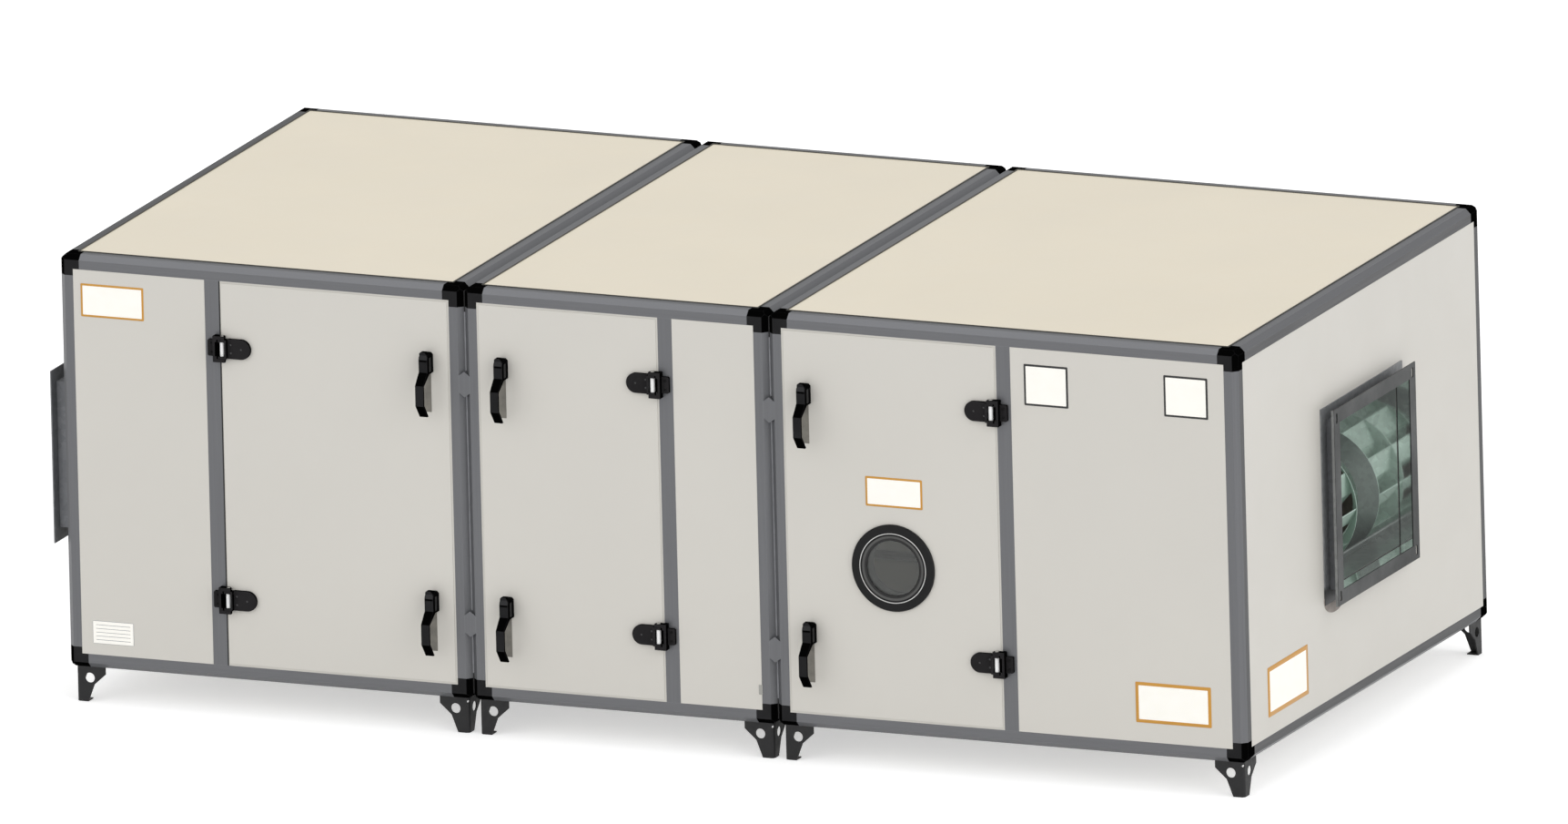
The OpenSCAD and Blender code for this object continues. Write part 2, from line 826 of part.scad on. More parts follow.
module left_lower_lever() { lever(0, handle_low); }

module middle_upper_lever() { lever(1, handle_high); }

module middle_lower_lever() { lever(1, handle_low); }

module right_upper_lever() { lever(2, handle_high); }

module right_lower_lever() { lever(2, handle_low); }

// Fan

// Moves a shape from the wheel's centre to its place
module at_shaft() {
    translate([shaft_x, mid_y, shaft_z]) children();
}

// Turns a flat shape in X and Z into a plate from y to y + t
module upright(y, t) {
    translate([0, y + t, 0]) rotate([90, 0, 0]) linear_extrude(t) children();
}

// Turns a shape of revolution about Z so that its axis lies along +Y or -Y
module about_y(side) {
    rotate([side > 0 ? -90 : 90, 0, 0]) children();
}

// One quarter of a disc of radius r in the quadrant with signs s, cut off below a drop
module quarter(r, s, drop = 0) {
    intersection() {
        circle(r, $fn = 128);
        translate([s[0] < 0 ? -2 * r : 0, s[1] < 0 ? -2 * r - drop : 0]) square(2 * r);
    }
}

quarter_signs = [[1, -1], [-1, -1], [-1, 1]];
mouth_top_z = mouth_top - shaft_z;
mouth_bottom_z = mouth_bottom - shaft_z;
mouth_x = casing_l - shaft_x;

// Where the mouth's lower sheet meets the first arc
lip_drop = arc_centre[0][1] - mouth_bottom_z;
lip_x = arc_centre[0][0] + sqrt(pow(arc_r[0] + fan_sheet / 2, 2) - pow(lip_drop, 2));

// The tongue ends part of the way from the first arc's level down to the mouth's lower sheet
tongue_share = 0.75;
tongue_drop = tongue_share * lip_drop;
tongue_x = arc_centre[0][0] + sqrt(pow(arc_r[0] + fan_sheet / 2, 2) - pow(tongue_drop, 2));
arc_drop = [tongue_drop, 0, 0];

// The outer sheet of the scroll, seen along the shaft
module scroll_outline() {
    for (i = [0:2])
        translate(arc_centre[i])
            difference() {
                quarter(arc_r[i] + fan_sheet, quarter_signs[i], arc_drop[i]);
                circle(arc_r[i], $fn = 128);
            }
    translate([arc_centre[2][0], mouth_top_z - fan_sheet]) square([mouth_x - arc_centre[2][0], fan_sheet]);
    translate([lip_x, mouth_bottom_z]) square([mouth_x - lip_x, fan_sheet]);
    translate([tongue_x, arc_centre[0][1] - tongue_drop]) circle(2 * fan_sheet);
}

module fan_scroll() {
    color(dark_steel) unit() at_shaft() upright(-scroll_in_w / 2, scroll_in_w) scroll_outline();
}

// The closed area of the scroll, with the skirt that stands on the base
module side_outline() {
    for (i = [0:2]) translate(arc_centre[i]) quarter(arc_r[i] + fan_sheet, quarter_signs[i]);
    translate(arc_centre[0]) square([arc_r[0] + fan_sheet, scroll_step]);
    translate([arc_centre[2][0], mouth_bottom_z])
        square([mouth_x - arc_centre[2][0], mouth_top_z - mouth_bottom_z]);
    translate([-skirt_w / 2, base_top - shaft_z]) square([skirt_w, shaft_z - base_top]);
}

// One side plate with its bell-mouthed inlet, outwards along +Y
module side_plate() {
    upright(0, fan_sheet)
        difference() {
            side_outline();
            circle(inlet_ring_r + bell_r, $fn = 128);
        }
    about_y(1)
        rotate_extrude($fn = 128)
            translate([inlet_ring_r + bell_r, 0])
                difference() {
                    intersection() {
                        circle(bell_r, $fn = 48);
                        translate([-bell_r, 0]) square(bell_r);
                    }
                    circle(bell_r - fan_sheet, $fn = 48);
                }
    // the flat ring that closes the plate up to the bell
    about_y(1)
        difference() {
            cylinder(r = inlet_ring_r + bell_r, h = fan_sheet, $fn = 128);
            translate([0, 0, -cut]) cylinder(r = inlet_ring_r, h = fan_sheet + 2 * cut, $fn = 128);
        }
}

module fan_side_plates() {
    color(dark_steel) unit() at_shaft()
        for (f = [0, 1])
            flip([0, f, 0]) translate([0, scroll_in_w / 2, 0]) side_plate();
}

// A blade is a bent plate that leans back from the inner radius to the rim
module blade_outline() {
    tip = wheel_r - shroud_t;
    mid_r = (blade_in_r + tip) / 2 + blade_t;
    inner = [blade_in_r, 0];
    middle = mid_r * [cos(blade_lean * 0.42), sin(blade_lean * 0.42)];
    outer = tip * [cos(blade_lean), sin(blade_lean)];
    side = blade_t * [sin(blade_lean / 2 + 30), -cos(blade_lean / 2 + 30)];
    polygon([inner, middle, outer, outer + side, middle + side, inner + side]);
}

// The space between the middle disc and a shroud, as a shape of revolution
module blade_space() {
    rotate_extrude($fn = 128)
        polygon([[blade_in_r - blade_t, 0], [wheel_r - shroud_t / 2, 0], [wheel_r - shroud_t / 2, wheel_rim_w],
            [wheel_eye_r, wheel_eye_w - shroud_t / 2], [blade_in_r - blade_t, wheel_eye_w - shroud_t / 2]]);
}

// The cone of a shroud
module shroud() {
    rotate_extrude($fn = 128)
        polygon([[wheel_eye_r, wheel_eye_w - shroud_t], [wheel_r, wheel_rim_w - shroud_t],
            [wheel_r, wheel_rim_w], [wheel_eye_r, wheel_eye_w]]);
}

module fan_wheel() {
    color(green_grey) unit() at_shaft()
        difference() {
            union() {
                about_y(1) translate([0, 0, -disc_t / 2]) cylinder(r = wheel_r, h = disc_t, $fn = 128);
                about_y(1) translate([0, 0, -hub_len / 2]) cylinder(r = hub_r, h = hub_len);
                for (side = [-1, 1]) about_y(side) {
                    shroud();
                    intersection() {
                        blade_space();
                        for (k = [0:blades - 1])
                            rotate(k * 360 / blades)
                                linear_extrude(wheel_eye_w) mirror([0, side > 0 ? 1 : 0]) blade_outline();
                    }
                }
            }
            about_y(1) translate([0, 0, -hub_len]) cylinder(r = shaft_r, h = 2 * hub_len);
        }
}

bearing_y = scroll_in_w / 2 + fan_sheet + bearing_out;

module fan_shaft() {
    reach = bearing_y + bearing_len;
    color(steel) unit() at_shaft() about_y(1) translate([0, 0, -reach]) cylinder(r = shaft_r, h = 2 * reach);
}

// A bar across each inlet carries the bearing, on a foot at each end against the side plate
module bearing_bar() {
    bar_t = 8;
    foot_z = inlet_ring_r + bell_r + bearing_bar_w / 2;
    difference() {
        union() {
            translate([-bearing_bar_w / 2, bearing_out - bar_t / 2, -foot_z])
                cube([bearing_bar_w, bar_t, 2 * foot_z]);
            for (z = [-foot_z, foot_z - bar_t])
                translate([-bearing_bar_w / 2, 0, z]) cube([bearing_bar_w, bearing_out + bar_t / 2, bar_t]);
            translate([0, bearing_out - bearing_len / 2, 0])
                about_y(1) cylinder(r = bearing_r, h = bearing_len);
        }
        about_y(1) cylinder(r = shaft_r + shaft_fit, h = 2 * bearing_out);
    }
}

module bearing_bars() {
    color(dark_steel) unit() at_shaft()
        for (f = [0, 1])
            flip([0, f, 0]) translate([0, scroll_in_w / 2 + fan_sheet, 0]) bearing_bar();
}

base_rail_y = scroll_in_w / 2 + fan_sheet / 2;

module fan_base() {
    color(dark_steel) unit()
        for (s = [-1, 1])
            translate([shaft_x - skirt_w / 2, mid_y + s * base_rail_y - base_rail_w / 2, panel_t + pad_h])
                cube([skirt_w, base_rail_w, base_rail_h]);
}

module fan_pads() {
    inset = skirt_w / 2 - 2 * pad_r;
    color(black) unit()
        for (s = [-1, 1], t = [-1, 1])
            translate([shaft_x + t * inset, mid_y + s * base_rail_y, panel_t]) cylinder(r = pad_r, h = pad_h);
}

left_frame();
middle_frame();
right_frame();
frame_corners();
feet();
door_posts();
fixed_panels();
roof_panels();
floor_panels();
back_panels();
left_end_panel();
right_end_panel();
section_gaskets();
section_clamps();
inlet_inner_flange();
inlet_sleeve();
inlet_outer_flange();
outlet_inner_flange();
outlet_sleeve();
outlet_outer_flange();
hinge_brackets();
hinge_pins();
left_door();
left_door_leaves();
left_handle_seats();
left_upper_lever();
left_lower_lever();
middle_door();
middle_door_leaves();
middle_handle_seats();
middle_upper_lever();
middle_lower_lever();
right_door();
right_door_leaves();
right_handle_seats();
right_upper_lever();
right_lower_lever();
porthole_rings();
porthole_glass();
fan_scroll();
fan_side_plates();
fan_wheel();
fan_shaft();
bearing_bars();
fan_base();
fan_pads();
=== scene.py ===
"""Looks of the air handling unit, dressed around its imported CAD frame. Metres, row frame."""
import json
import math

import bmesh
import bpy
from mathutils import Matrix, Vector


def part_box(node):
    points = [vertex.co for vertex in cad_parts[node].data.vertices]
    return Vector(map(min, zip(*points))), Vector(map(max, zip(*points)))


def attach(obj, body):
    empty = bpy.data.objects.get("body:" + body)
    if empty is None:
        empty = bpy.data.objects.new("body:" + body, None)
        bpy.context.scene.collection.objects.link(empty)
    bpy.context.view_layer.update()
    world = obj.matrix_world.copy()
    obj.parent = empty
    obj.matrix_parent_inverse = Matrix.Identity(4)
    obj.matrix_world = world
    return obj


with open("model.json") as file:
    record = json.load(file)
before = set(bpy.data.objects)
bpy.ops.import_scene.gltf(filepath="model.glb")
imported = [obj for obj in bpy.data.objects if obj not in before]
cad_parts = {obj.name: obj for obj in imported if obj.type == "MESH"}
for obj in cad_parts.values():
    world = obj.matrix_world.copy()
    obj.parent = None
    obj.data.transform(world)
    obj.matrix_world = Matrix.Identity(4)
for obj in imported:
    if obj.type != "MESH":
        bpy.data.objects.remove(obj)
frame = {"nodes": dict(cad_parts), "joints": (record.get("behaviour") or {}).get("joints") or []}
NODES = frame["nodes"]
JOINTS = {j["name"]: j for j in frame["joints"]}
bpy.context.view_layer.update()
MM = 0.001

# The casing's box: x along the unit, y from the front to the back, z up
CASING_LOW, CASING_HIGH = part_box("frame_corners")
OUTLET_LOW, OUTLET_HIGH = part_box("outlet_outer_flange")

# The three doors, from left to right, and the two levers of each
SIDES = ("left", "middle", "right")
LEVELS = ("upper", "lower")

# The camera looks along parallel rays, so its scale is the width of the picture
PHOTO_W = 1723
PIXELS_PER_M = 468.131
CAM_AZIMUTH = math.radians(23.504)
CAM_ELEVATION = math.radians(14.482)
CAM_ROLL = math.radians(-1.442)
CAM_DISTANCE = 12.0
# The picture's middle, seen from a point inside the casing, in pixels right and down
AIM_POINT = CASING_LOW + Vector((1.4909, 0.70909, 0.5))
AIM_RIGHT = 18.963
AIM_DOWN = -26.773

# Axes of a flat piece: along, up and out
FRONT_AXES = (Vector((1, 0, 0)), Vector((0, 0, 1)), Vector((0, -1, 0)))
END_AXES = (Vector((0, 1, 0)), Vector((0, 0, 1)), Vector((1, 0, 0)))


def srgb(r, g, b):
    """An sRGB colour of 0 to 255 as linear red, green, blue and alpha."""
    linear = []
    for value in (r, g, b):
        c = value / 255
        linear.append(c / 12.92 if c <= 0.04045 else ((c + 0.055) / 1.055) ** 2.4)
    return (*linear, 1.0)


def shade(colour, factor):
    """A linear colour made lighter or darker by a factor."""
    return (*(min(1.0, c * factor) for c in colour[:3]), 1.0)


# Camera

def make_camera():
    sin_a, cos_a = math.sin(CAM_AZIMUTH), math.cos(CAM_AZIMUTH)
    sin_e, cos_e = math.sin(CAM_ELEVATION), math.cos(CAM_ELEVATION)
    back = Vector((sin_a * cos_e, -cos_a * cos_e, sin_e))
    level_right = Vector((cos_a, sin_a, 0))
    level_up = back.cross(level_right)
    right = math.cos(CAM_ROLL) * level_right + math.sin(CAM_ROLL) * level_up
    up = back.cross(right)
    aim = AIM_POINT + right * (AIM_RIGHT / PIXELS_PER_M) - up * (AIM_DOWN / PIXELS_PER_M)
    place = aim + back * CAM_DISTANCE
    data = bpy.data.cameras.new("camera")
    data.type = "ORTHO"
    data.ortho_scale = PHOTO_W / PIXELS_PER_M
    camera = bpy.data.objects.new("camera", data)
    turn = Matrix((right, up, back)).transposed().to_4x4()
    camera.matrix_world = Matrix.Translation(place) @ turn
    bpy.context.scene.collection.objects.link(camera)
    bpy.context.scene.camera = camera


make_camera()


# Materials

# The span that most of a noise's values lie in, and the roughness of every noise
NOISE_LOW = 0.3
NOISE_HIGH = 0.7
NOISE_ROUGHNESS = 0.55

# The cosine between the rounded and the flat normal where an edge counts in full, and the samples taken
EDGE_TURN = 0.85
EDGE_SAMPLES = 4

# The side of the black plastic that is painted lit grey, the plain black of its sides in painted shade and
# of the section rubber's ends, the rails' chamfers with a painted highlight and their faces to the right
# with painted shade
LIT_SIDE = Vector((0.0, -1.0, 0.0))
PLAIN_BLACK = srgb(5, 5, 5)
CHAMFER_SIDE = Vector((0.0, -0.7071, 0.7071))
CHAMFER_HIGHLIGHT = 1.5
END_SIDE = Vector((1.0, 0.0, 0.0))
END_PAINTED_SHADE = 0.4

# Painted shade in the channel under the outlet: its top, how soon it fades upwards and how dark it is
PAINTED_SHADE_TOP = OUTLET_LOW.z + 35 * MM
PAINTED_SHADE_FADE = 12 * MM
PAINTED_SHADE_DARKNESS = 0.12

# How far the black corner pieces reach along the joints between the sections
CORNER_REACH = 62 * MM


class Shader:
    """A new node material with a Principled surface and a few helpers to build its inputs."""

    def __init__(self, name):
        self.material = bpy.data.materials.new(name)
        self.material.use_nodes = True
        self.tree = self.material.node_tree
        self.bsdf = self.tree.nodes["Principled BSDF"]
        self.coords = self.tree.nodes.new("ShaderNodeTexCoord")

    def set(self, **values):
        """Sets inputs of the surface, named with an underscore for each space."""
        for name, value in values.items():
            self.bsdf.inputs[name.replace("_", " ")].default_value = value

    def link(self, output, target):
        self.tree.links.new(output, target)

    def scaled(self, scale):
        """Object coordinates stretched by a scale for each axis."""
        mapping = self.tree.nodes.new("ShaderNodeMapping")
        mapping.inputs["Scale"].default_value = scale
        self.link(self.coords.outputs["Object"], mapping.inputs["Vector"])
        return mapping.outputs["Vector"]

    def noise(self, scale, detail=3.0, stretch=(1, 1, 1)):
        node = self.tree.nodes.new("ShaderNodeTexNoise")
        node.inputs["Scale"].default_value = scale
        node.inputs["Detail"].default_value = detail
        node.inputs["Roughness"].default_value = NOISE_ROUGHNESS
        self.link(self.scaled(stretch), node.inputs["Vector"])
        return node.outputs["Fac"]

    def cells(self, scale):
        """One random value for each cell of a pattern."""
        node = self.tree.nodes.new("ShaderNodeTexVoronoi")
        node.inputs["Scale"].default_value = scale
        self.link(self.scaled((1, 1, 1)), node.inputs["Vector"])
        split = self.tree.nodes.new("ShaderNodeSeparateColor")
        self.link(node.outputs["Color"], split.inputs["Color"])
        return split.outputs["Red"]

    def ramp(self, fac, low, high, start=0.0, end=1.0):
        """Maps fac from low..high to start..end."""
        node = self.tree.nodes.new("ShaderNodeMapRange")
        node.inputs["From Min"].default_value = low
        node.inputs["From Max"].default_value = high
        node.inputs["To Min"].default_value = start
        node.inputs["To Max"].default_value = end
        self.link(fac, node.inputs["Value"])
        return node.outputs["Result"]

    def mix(self, fac, a, b):
        """A colour between a and b, each a colour or an output."""
        node = self.tree.nodes.new("ShaderNodeMix")
        node.data_type = "RGBA"
        self.link(fac, node.inputs["Factor"])
        for value, key in ((a, "A"), (b, "B")):
            target = [i for i in node.inputs if i.name == key and i.type == "RGBA"][0]
            if isinstance(value, tuple):
                target.default_value = value
            else:
                self.link(value, target)
        return [o for o in node.outputs if o.type == "RGBA"][0]

    def shades(self, fac, colour, dark, light, low=NOISE_LOW, high=NOISE_HIGH):
        """A colour that goes from a dark to a light shade of itself as fac goes from low to high."""
        return self.mix(self.ramp(fac, low, high), shade(colour, dark), shade(colour, light))

    def dot(self, output):
        """A node for the dot product of an output with its second input."""
        node = self.tree.nodes.new("ShaderNodeVectorMath")
        node.operation = "DOT_PRODUCT"
        self.link(output, node.inputs[0])
        return node

    def level(self, low, high):
        """Goes from 0 to 1 as the height over the floor goes from low to high."""
        split = self.tree.nodes.new("ShaderNodeSeparateXYZ")
        self.link(self.coords.outputs["Object"], split.inputs["Vector"])
        return self.ramp(split.outputs["Z"], low, high)

    def facing(self, direction, low, high):
        """Goes from 0 to 1 as a face turns towards a direction of the object."""
        dot = self.dot(self.coords.outputs["Normal"])
        dot.inputs[1].default_value = direction
        return self.ramp(dot.outputs["Value"], low, high)

    def worn_edges(self, coat, radius, amount, rubbed):
        """A coat that is rubbed towards another colour along the sharp edges."""
        rounded = self.tree.nodes.new("ShaderNodeBevel")
        rounded.samples = EDGE_SAMPLES
        rounded.inputs["Radius"].default_value = radius
        flat = self.tree.nodes.new("ShaderNodeNewGeometry")
        dot = self.dot(rounded.outputs["Normal"])
        self.link(flat.outputs["Normal"], dot.inputs[1])
        return self.mix(self.ramp(dot.outputs["Value"], 1.0, EDGE_TURN, end=amount), coat, rubbed)

    def colour(self, output):
        self.link(output, self.bsdf.inputs["Base Color"])

    def roughness(self, fac, smooth, rough):
        """Roughness between two values as a noise goes through its span."""
        self.link(self.ramp(fac, NOISE_LOW, NOISE_HIGH, smooth, rough), self.bsdf.inputs["Roughness"])

    def bump(self, height, distance, strength):
        node = self.tree.nodes.new("ShaderNodeBump")
        node.inputs["Distance"].default_value = distance
        node.inputs["Strength"].default_value = strength
        self.link(height, node.inputs["Height"])
        self.link(node.outputs["Normal"], self.bsdf.inputs["Normal"])


def coated_sheet(name, colour, rough=0.42):
    """Coil-coated sheet: an even coat with faint cloudiness and fine orange peel."""
    s = Shader(name)
    s.colour(s.shades(s.noise(scale=2.2, detail=4.0), colour, dark=0.985, light=1.012))
    s.roughness(s.noise(scale=9.0), smooth=rough - 0.05, rough=rough + 0.06)
    s.bump(s.noise(scale=900.0, detail=2.0), distance=0.06 * MM, strength=0.35)
    return s.material


def profile_coat(name, colour, stretch):
    """Satin grey coat on a drawn rail, with faint lines along it, a painted highlight on chamfers facing up
    and forward and painted shade on faces to the right.
    """
    s = Shader(name)
    lines = s.noise(scale=160.0, detail=2.0, stretch=stretch)
    coat = s.shades(lines, colour, dark=0.94, light=1.06)
    # Painted light: a highlight on the chamfers that face up and forward, and shade on the faces that look
    # to the right
    coat = s.mix(s.facing(CHAMFER_SIDE, low=0.9, high=0.98), coat, shade(colour, CHAMFER_HIGHLIGHT))
    coat = s.mix(s.facing(END_SIDE, low=0.75, high=0.95), coat, shade(colour, END_PAINTED_SHADE))
    s.colour(s.worn_edges(coat, radius=1.2 * MM, amount=0.45, rubbed=shade(colour, 1.7)))
    s.roughness(lines, smooth=0.36, rough=0.48)
    s.set(Metallic=0.35)
    s.bump(lines, distance=0.08 * MM, strength=0.3)
    return s.material


def moulded_plastic(name, colour, rough, wear=1.8, sheen=0.3):
    """Moulded plastic with a fine eroded grain and slightly polished edges."""
    s = Shader(name)
    s.set(Specular_IOR_Level=sheen)
    coat = s.shades(s.noise(scale=14.0), colour, dark=0.9, light=1.12)
    s.colour(s.worn_edges(coat, radius=1.5 * MM, amount=0.6, rubbed=shade(colour, wear)))
    s.roughness(s.noise(scale=40.0), smooth=rough - 0.06, rough=rough + 0.08)
    s.bump(s.noise(scale=700.0, detail=2.0), distance=0.1 * MM, strength=0.3)
    return s.material


def front_lit_plastic(name, tone, rough):
    """Dull black plastic with painted light: a lit grey front, painted shade in deep black on the other
    sides, and rubbed edges.
    """
    s = Shader(name)
    s.set(Specular_IOR_Level=0.0)
    grey = s.shades(s.noise(scale=14.0), tone, dark=0.88, light=1.12)
    # Painted light: the face towards the front is a lit grey, and the other sides are painted shade in black
    coat = s.mix(s.facing(LIT_SIDE, low=0.84, high=0.97), PLAIN_BLACK, grey)
    s.colour(s.worn_edges(coat, radius=1.5 * MM, amount=0.35, rubbed=shade(tone, 2.0)))
    s.roughness(s.noise(scale=40.0), smooth=rough - 0.06, rough=rough + 0.08)
    s.bump(s.noise(scale=900.0, detail=2.0), distance=0.1 * MM, strength=0.3)
    return s.material


def powder_coat(name, colour):
    """Black powder coat with a lumpy skin and rubbed edges."""
    s = Shader(name)
    s.set(Specular_IOR_Level=0.3)
    coat = s.shades(s.noise(scale=20.0), colour, dark=0.9, light=1.15)
    s.colour(s.worn_edges(coat, radius=1.0 * MM, amount=0.55, rubbed=shade(colour, 2.4)))
    s.roughness(s.noise(scale=60.0), smooth=0.42, rough=0.56)
    s.bump(s.noise(scale=520.0, detail=1.0), distance=0.15 * MM, strength=0.4)
    return s.material


def galvanised(name, colour, rough, metal, painted_shade_top=None, glow=0.0):
    """Zinc-coated steel: spangle in close shades under a thin dull film, with painted shade up to a height
    and a faint glow of painted light when a glow is given.
    """
    s = Shader(name)
    tone = s.noise(scale=7.0, detail=5.0)
    coat = s.shades(s.cells(scale=85.0), colour, dark=0.88, light=1.14, low=0.0, high=1.0)
    coat = s.mix(s.ramp(tone, 0.35, 0.75, end=0.5), coat, shade(colour, 0.8))
    # Painted shade: darker below a height, fading out upwards
    if painted_shade_top:
        clear = s.level(painted_shade_top, painted_shade_top + PAINTED_SHADE_FADE)
        coat = s.mix(clear, shade(colour, PAINTED_SHADE_DARKNESS), coat)
    s.colour(coat)
    s.roughness(tone, smooth=rough * 0.8, rough=rough * 1.25)
    s.set(Metallic=metal, Emission_Color=colour, Emission_Strength=glow)
    s.bump(tone, distance=0.1 * MM, strength=0.15)
    return s.material


def bright_steel(name, colour, rough):
    """Ground round steel with fine turning marks."""
    s = Shader(name)
    marks = s.noise(scale=500.0, detail=2.0, stretch=(0.2, 0.2, 1.0))
    s.colour(s.shades(marks, colour, dark=0.9, light=1.05))
    s.roughness(marks, smooth=rough * 0.8, rough=rough * 1.4)
    s.set(Metallic=1.0)
    s.bump(marks, distance=0.04 * MM, strength=0.2)
    return s.material


def rubber(name, colour, bloom=1.5, black_ends=0.0):
    """Matt rubber with a dusty bloom, black within a distance of the casing's top and bottom."""
    s = Shader(name)
    dust = s.noise(scale=35.0, detail=4.0)
    coat = s.shades(dust, colour, dark=0.9, light=bloom, low=0.35, high=0.75)
    if black_ends:
        low = CASING_LOW.z + black_ends
        high = CASING_HIGH.z - black_ends
        coat = s.mix(s.level(low, low + MM), PLAIN_BLACK, coat)
        coat = s.mix(s.level(high - MM, high), coat, PLAIN_BLACK)
    s.colour(coat)
    s.roughness(dust, smooth=0.68, rough=0.85)
    s.bump(s.noise(scale=650.0, detail=2.0), distance=0.1 * MM, strength=0.3)
    return s.material


def cast_coat(name, colour):
    """Painted casting with a coarse skin."""
    s = Shader(name)
    skin = s.noise(scale=240.0)
    s.colour(s.shades(skin, colour, dark=0.85, light=1.2))
    s.roughness(skin, smooth=0.5, rough=0.66)
    s.bump(skin, distance=0.3 * MM, strength=0.4)
    return s.material


def wheel_coat(name, colour, glow=0.0):
    """Sprayed coat on the fan wheel, a little uneven, which can glow faintly as painted light inside the
    casing.
    """
    s = Shader(name)
    s.set(Emission_Color=colour, Emission_Strength=glow)
    spray = s.noise(scale=30.0, detail=4.0)
    s.colour(s.shades(spray, colour, dark=0.92, light=1.08))
    s.roughness(spray, smooth=0.34, rough=0.5)
    s.bump(s.noise(scale=420.0, detail=2.0), distance=0.1 * MM, strength=0.25)
    return s.material


def window_glass(name):
    """Clear glass with a slight grey tint and a trace of wiping marks."""
    s = Shader(name)
    s.set(Base_Color=srgb(225, 230, 226), Transmission_Weight=1.0, IOR=1.5)
    s.roughness(s.noise(scale=18.0, stretch=(1.0, 1.0, 4.0)), smooth=0.01, rough=0.06)
    s.bump(s.noise(scale=6.0), distance=0.3 * MM, strength=0.05)
    return s.material


def printed_plate(name, colour, glow=0.0):
    """A thin satin plate with slight yellowing, or a bright paper that glows a little."""
    s = Shader(name)
    s.set(Emission_Color=colour, Emission_Strength=glow)
    cloud = s.noise(scale=30.0)
    s.colour(s.shades(cloud, colour, dark=0.965, light=1.0))
    s.roughness(cloud, smooth=0.28, rough=0.38)
    s.bump(s.noise(scale=260.0, detail=2.0), distance=0.04 * MM, strength=0.2)
    return s.material


# Sheets and rails
GREY = srgb(105, 106, 109)
PANEL = coated_sheet("panel_coat", srgb(213, 210, 203))
ROOF = coated_sheet("roof_coat", srgb(236, 227, 207))
PROFILE_X = profile_coat("profile_along", GREY, stretch=(0.02, 1.0, 1.0))
PROFILE_Y = profile_coat("profile_across", GREY, stretch=(1.0, 0.02, 1.0))
PROFILE_Z = profile_coat("profile_upright", GREY, stretch=(1.0, 1.0, 0.02))
PROFILE_SHADED = profile_coat("profile_shaded", shade(GREY, 0.5), stretch=(1.0, 0.02, 1.0))

# Black parts
# Corner pieces, hinges and levers: a lit grey front and painted shade in black on their other sides
CORNER = front_lit_plastic("corner_plastic", srgb(42, 42, 43), rough=0.45)
FOOT = powder_coat("foot_coat", srgb(32, 32, 33))
HINGE = front_lit_plastic("hinge_plastic", srgb(43, 42, 43), rough=0.45)
HANDLE = front_lit_plastic("handle_plastic", srgb(40, 40, 41), rough=0.42)
RING = moulded_plastic("ring_plastic", srgb(16, 16, 17), rough=0.45, sheen=0.2)
SCREW_BLACK = moulded_plastic("screw_black", srgb(72, 72, 73), rough=0.3)
SCREW_DARK = moulded_plastic("screw_dark", srgb(22, 22, 22), rough=0.4, sheen=0.1)
MATT_BLACK = moulded_plastic("matt_black", srgb(4, 4, 4), rough=0.7, wear=1.2, sheen=0.0)
# The jamb's lighter grey on its face towards the barrel: painted light
JAMB_LIT = moulded_plastic("jamb_lit_grey", srgb(52, 52, 53), rough=0.5, wear=1.2, sheen=0.1)
# Lighter greys on the lever heads' tops and side bands: painted light and a painted highlight
LEVER_TOP = moulded_plastic("lever_top_grey", srgb(46, 46, 47), rough=0.5, wear=1.2, sheen=0.1)
LEVER_BAND = moulded_plastic("lever_band_grey", srgb(38, 38, 39), rough=0.5, wear=1.2, sheen=0.1)

# Light and grey plastic and glass
BARREL = moulded_plastic("barrel_white", srgb(250, 250, 249), rough=0.35, wear=1.0)
INNER_RING = moulded_plastic("inner_ring_plastic", srgb(80, 80, 79), rough=0.4, wear=1.2)
LIGHT_RING = moulded_plastic("light_ring", srgb(222, 222, 220), rough=0.35, wear=1.1)
CLIP = moulded_plastic("clip_plastic", srgb(163, 162, 157), rough=0.45)
GLASS = window_glass("porthole_glass_clear")

# Steel, zinc and the fan
PIN = bright_steel("pin_steel", srgb(235, 235, 235), rough=0.16)
SHAFT = bright_steel("shaft_steel", srgb(190, 190, 190), rough=0.25)
FLANGE = galvanised("flange_zinc", srgb(55, 57, 57), rough=0.42, metal=0.6)
# Lighter zinc than the outer flange's on the back flange, the inlet's flange and sleeve and the outlet's
# sleeve: painted light in their shaded faces
BACK_FLANGE = galvanised("back_flange_zinc", srgb(130, 132, 134), rough=0.5, metal=0.2, painted_shade_top=PAINTED_SHADE_TOP)
INLET_FLANGE = galvanised("inlet_flange_zinc", srgb(120, 122, 125), rough=0.5, metal=0.3)
SLEEVE = galvanised("sleeve_zinc", srgb(112, 114, 117), rough=0.4, metal=0.4)
# A lighter zinc on the flange's folded edge: a painted highlight
FLANGE_EDGE = galvanised("flange_edge_zinc", srgb(126, 128, 128), rough=0.5, metal=0.2)
INLET_SLEEVE = galvanised("inlet_sleeve_zinc", srgb(136, 138, 142), rough=0.5, metal=0.2)
# The bright duct zinc, the scroll and the wheel glow faintly: painted light inside the casing
DUCT_MIRROR = galvanised("duct_bright_zinc", srgb(222, 226, 224), rough=0.06, metal=1.0, glow=0.05)
SCROLL_SHEET = galvanised("scroll_zinc", srgb(120, 124, 122), rough=0.3, metal=0.9, glow=0.2)
WHEEL = wheel_coat("wheel_coat", srgb(172, 192, 181), glow=0.08)
SHROUD = wheel_coat("shroud_coat", srgb(96, 108, 102))
BEARING = cast_coat("bearing_coat", srgb(70, 74, 76))

# Seals, webs and plates
GASKET = rubber("gasket_rubber", srgb(30, 30, 30))
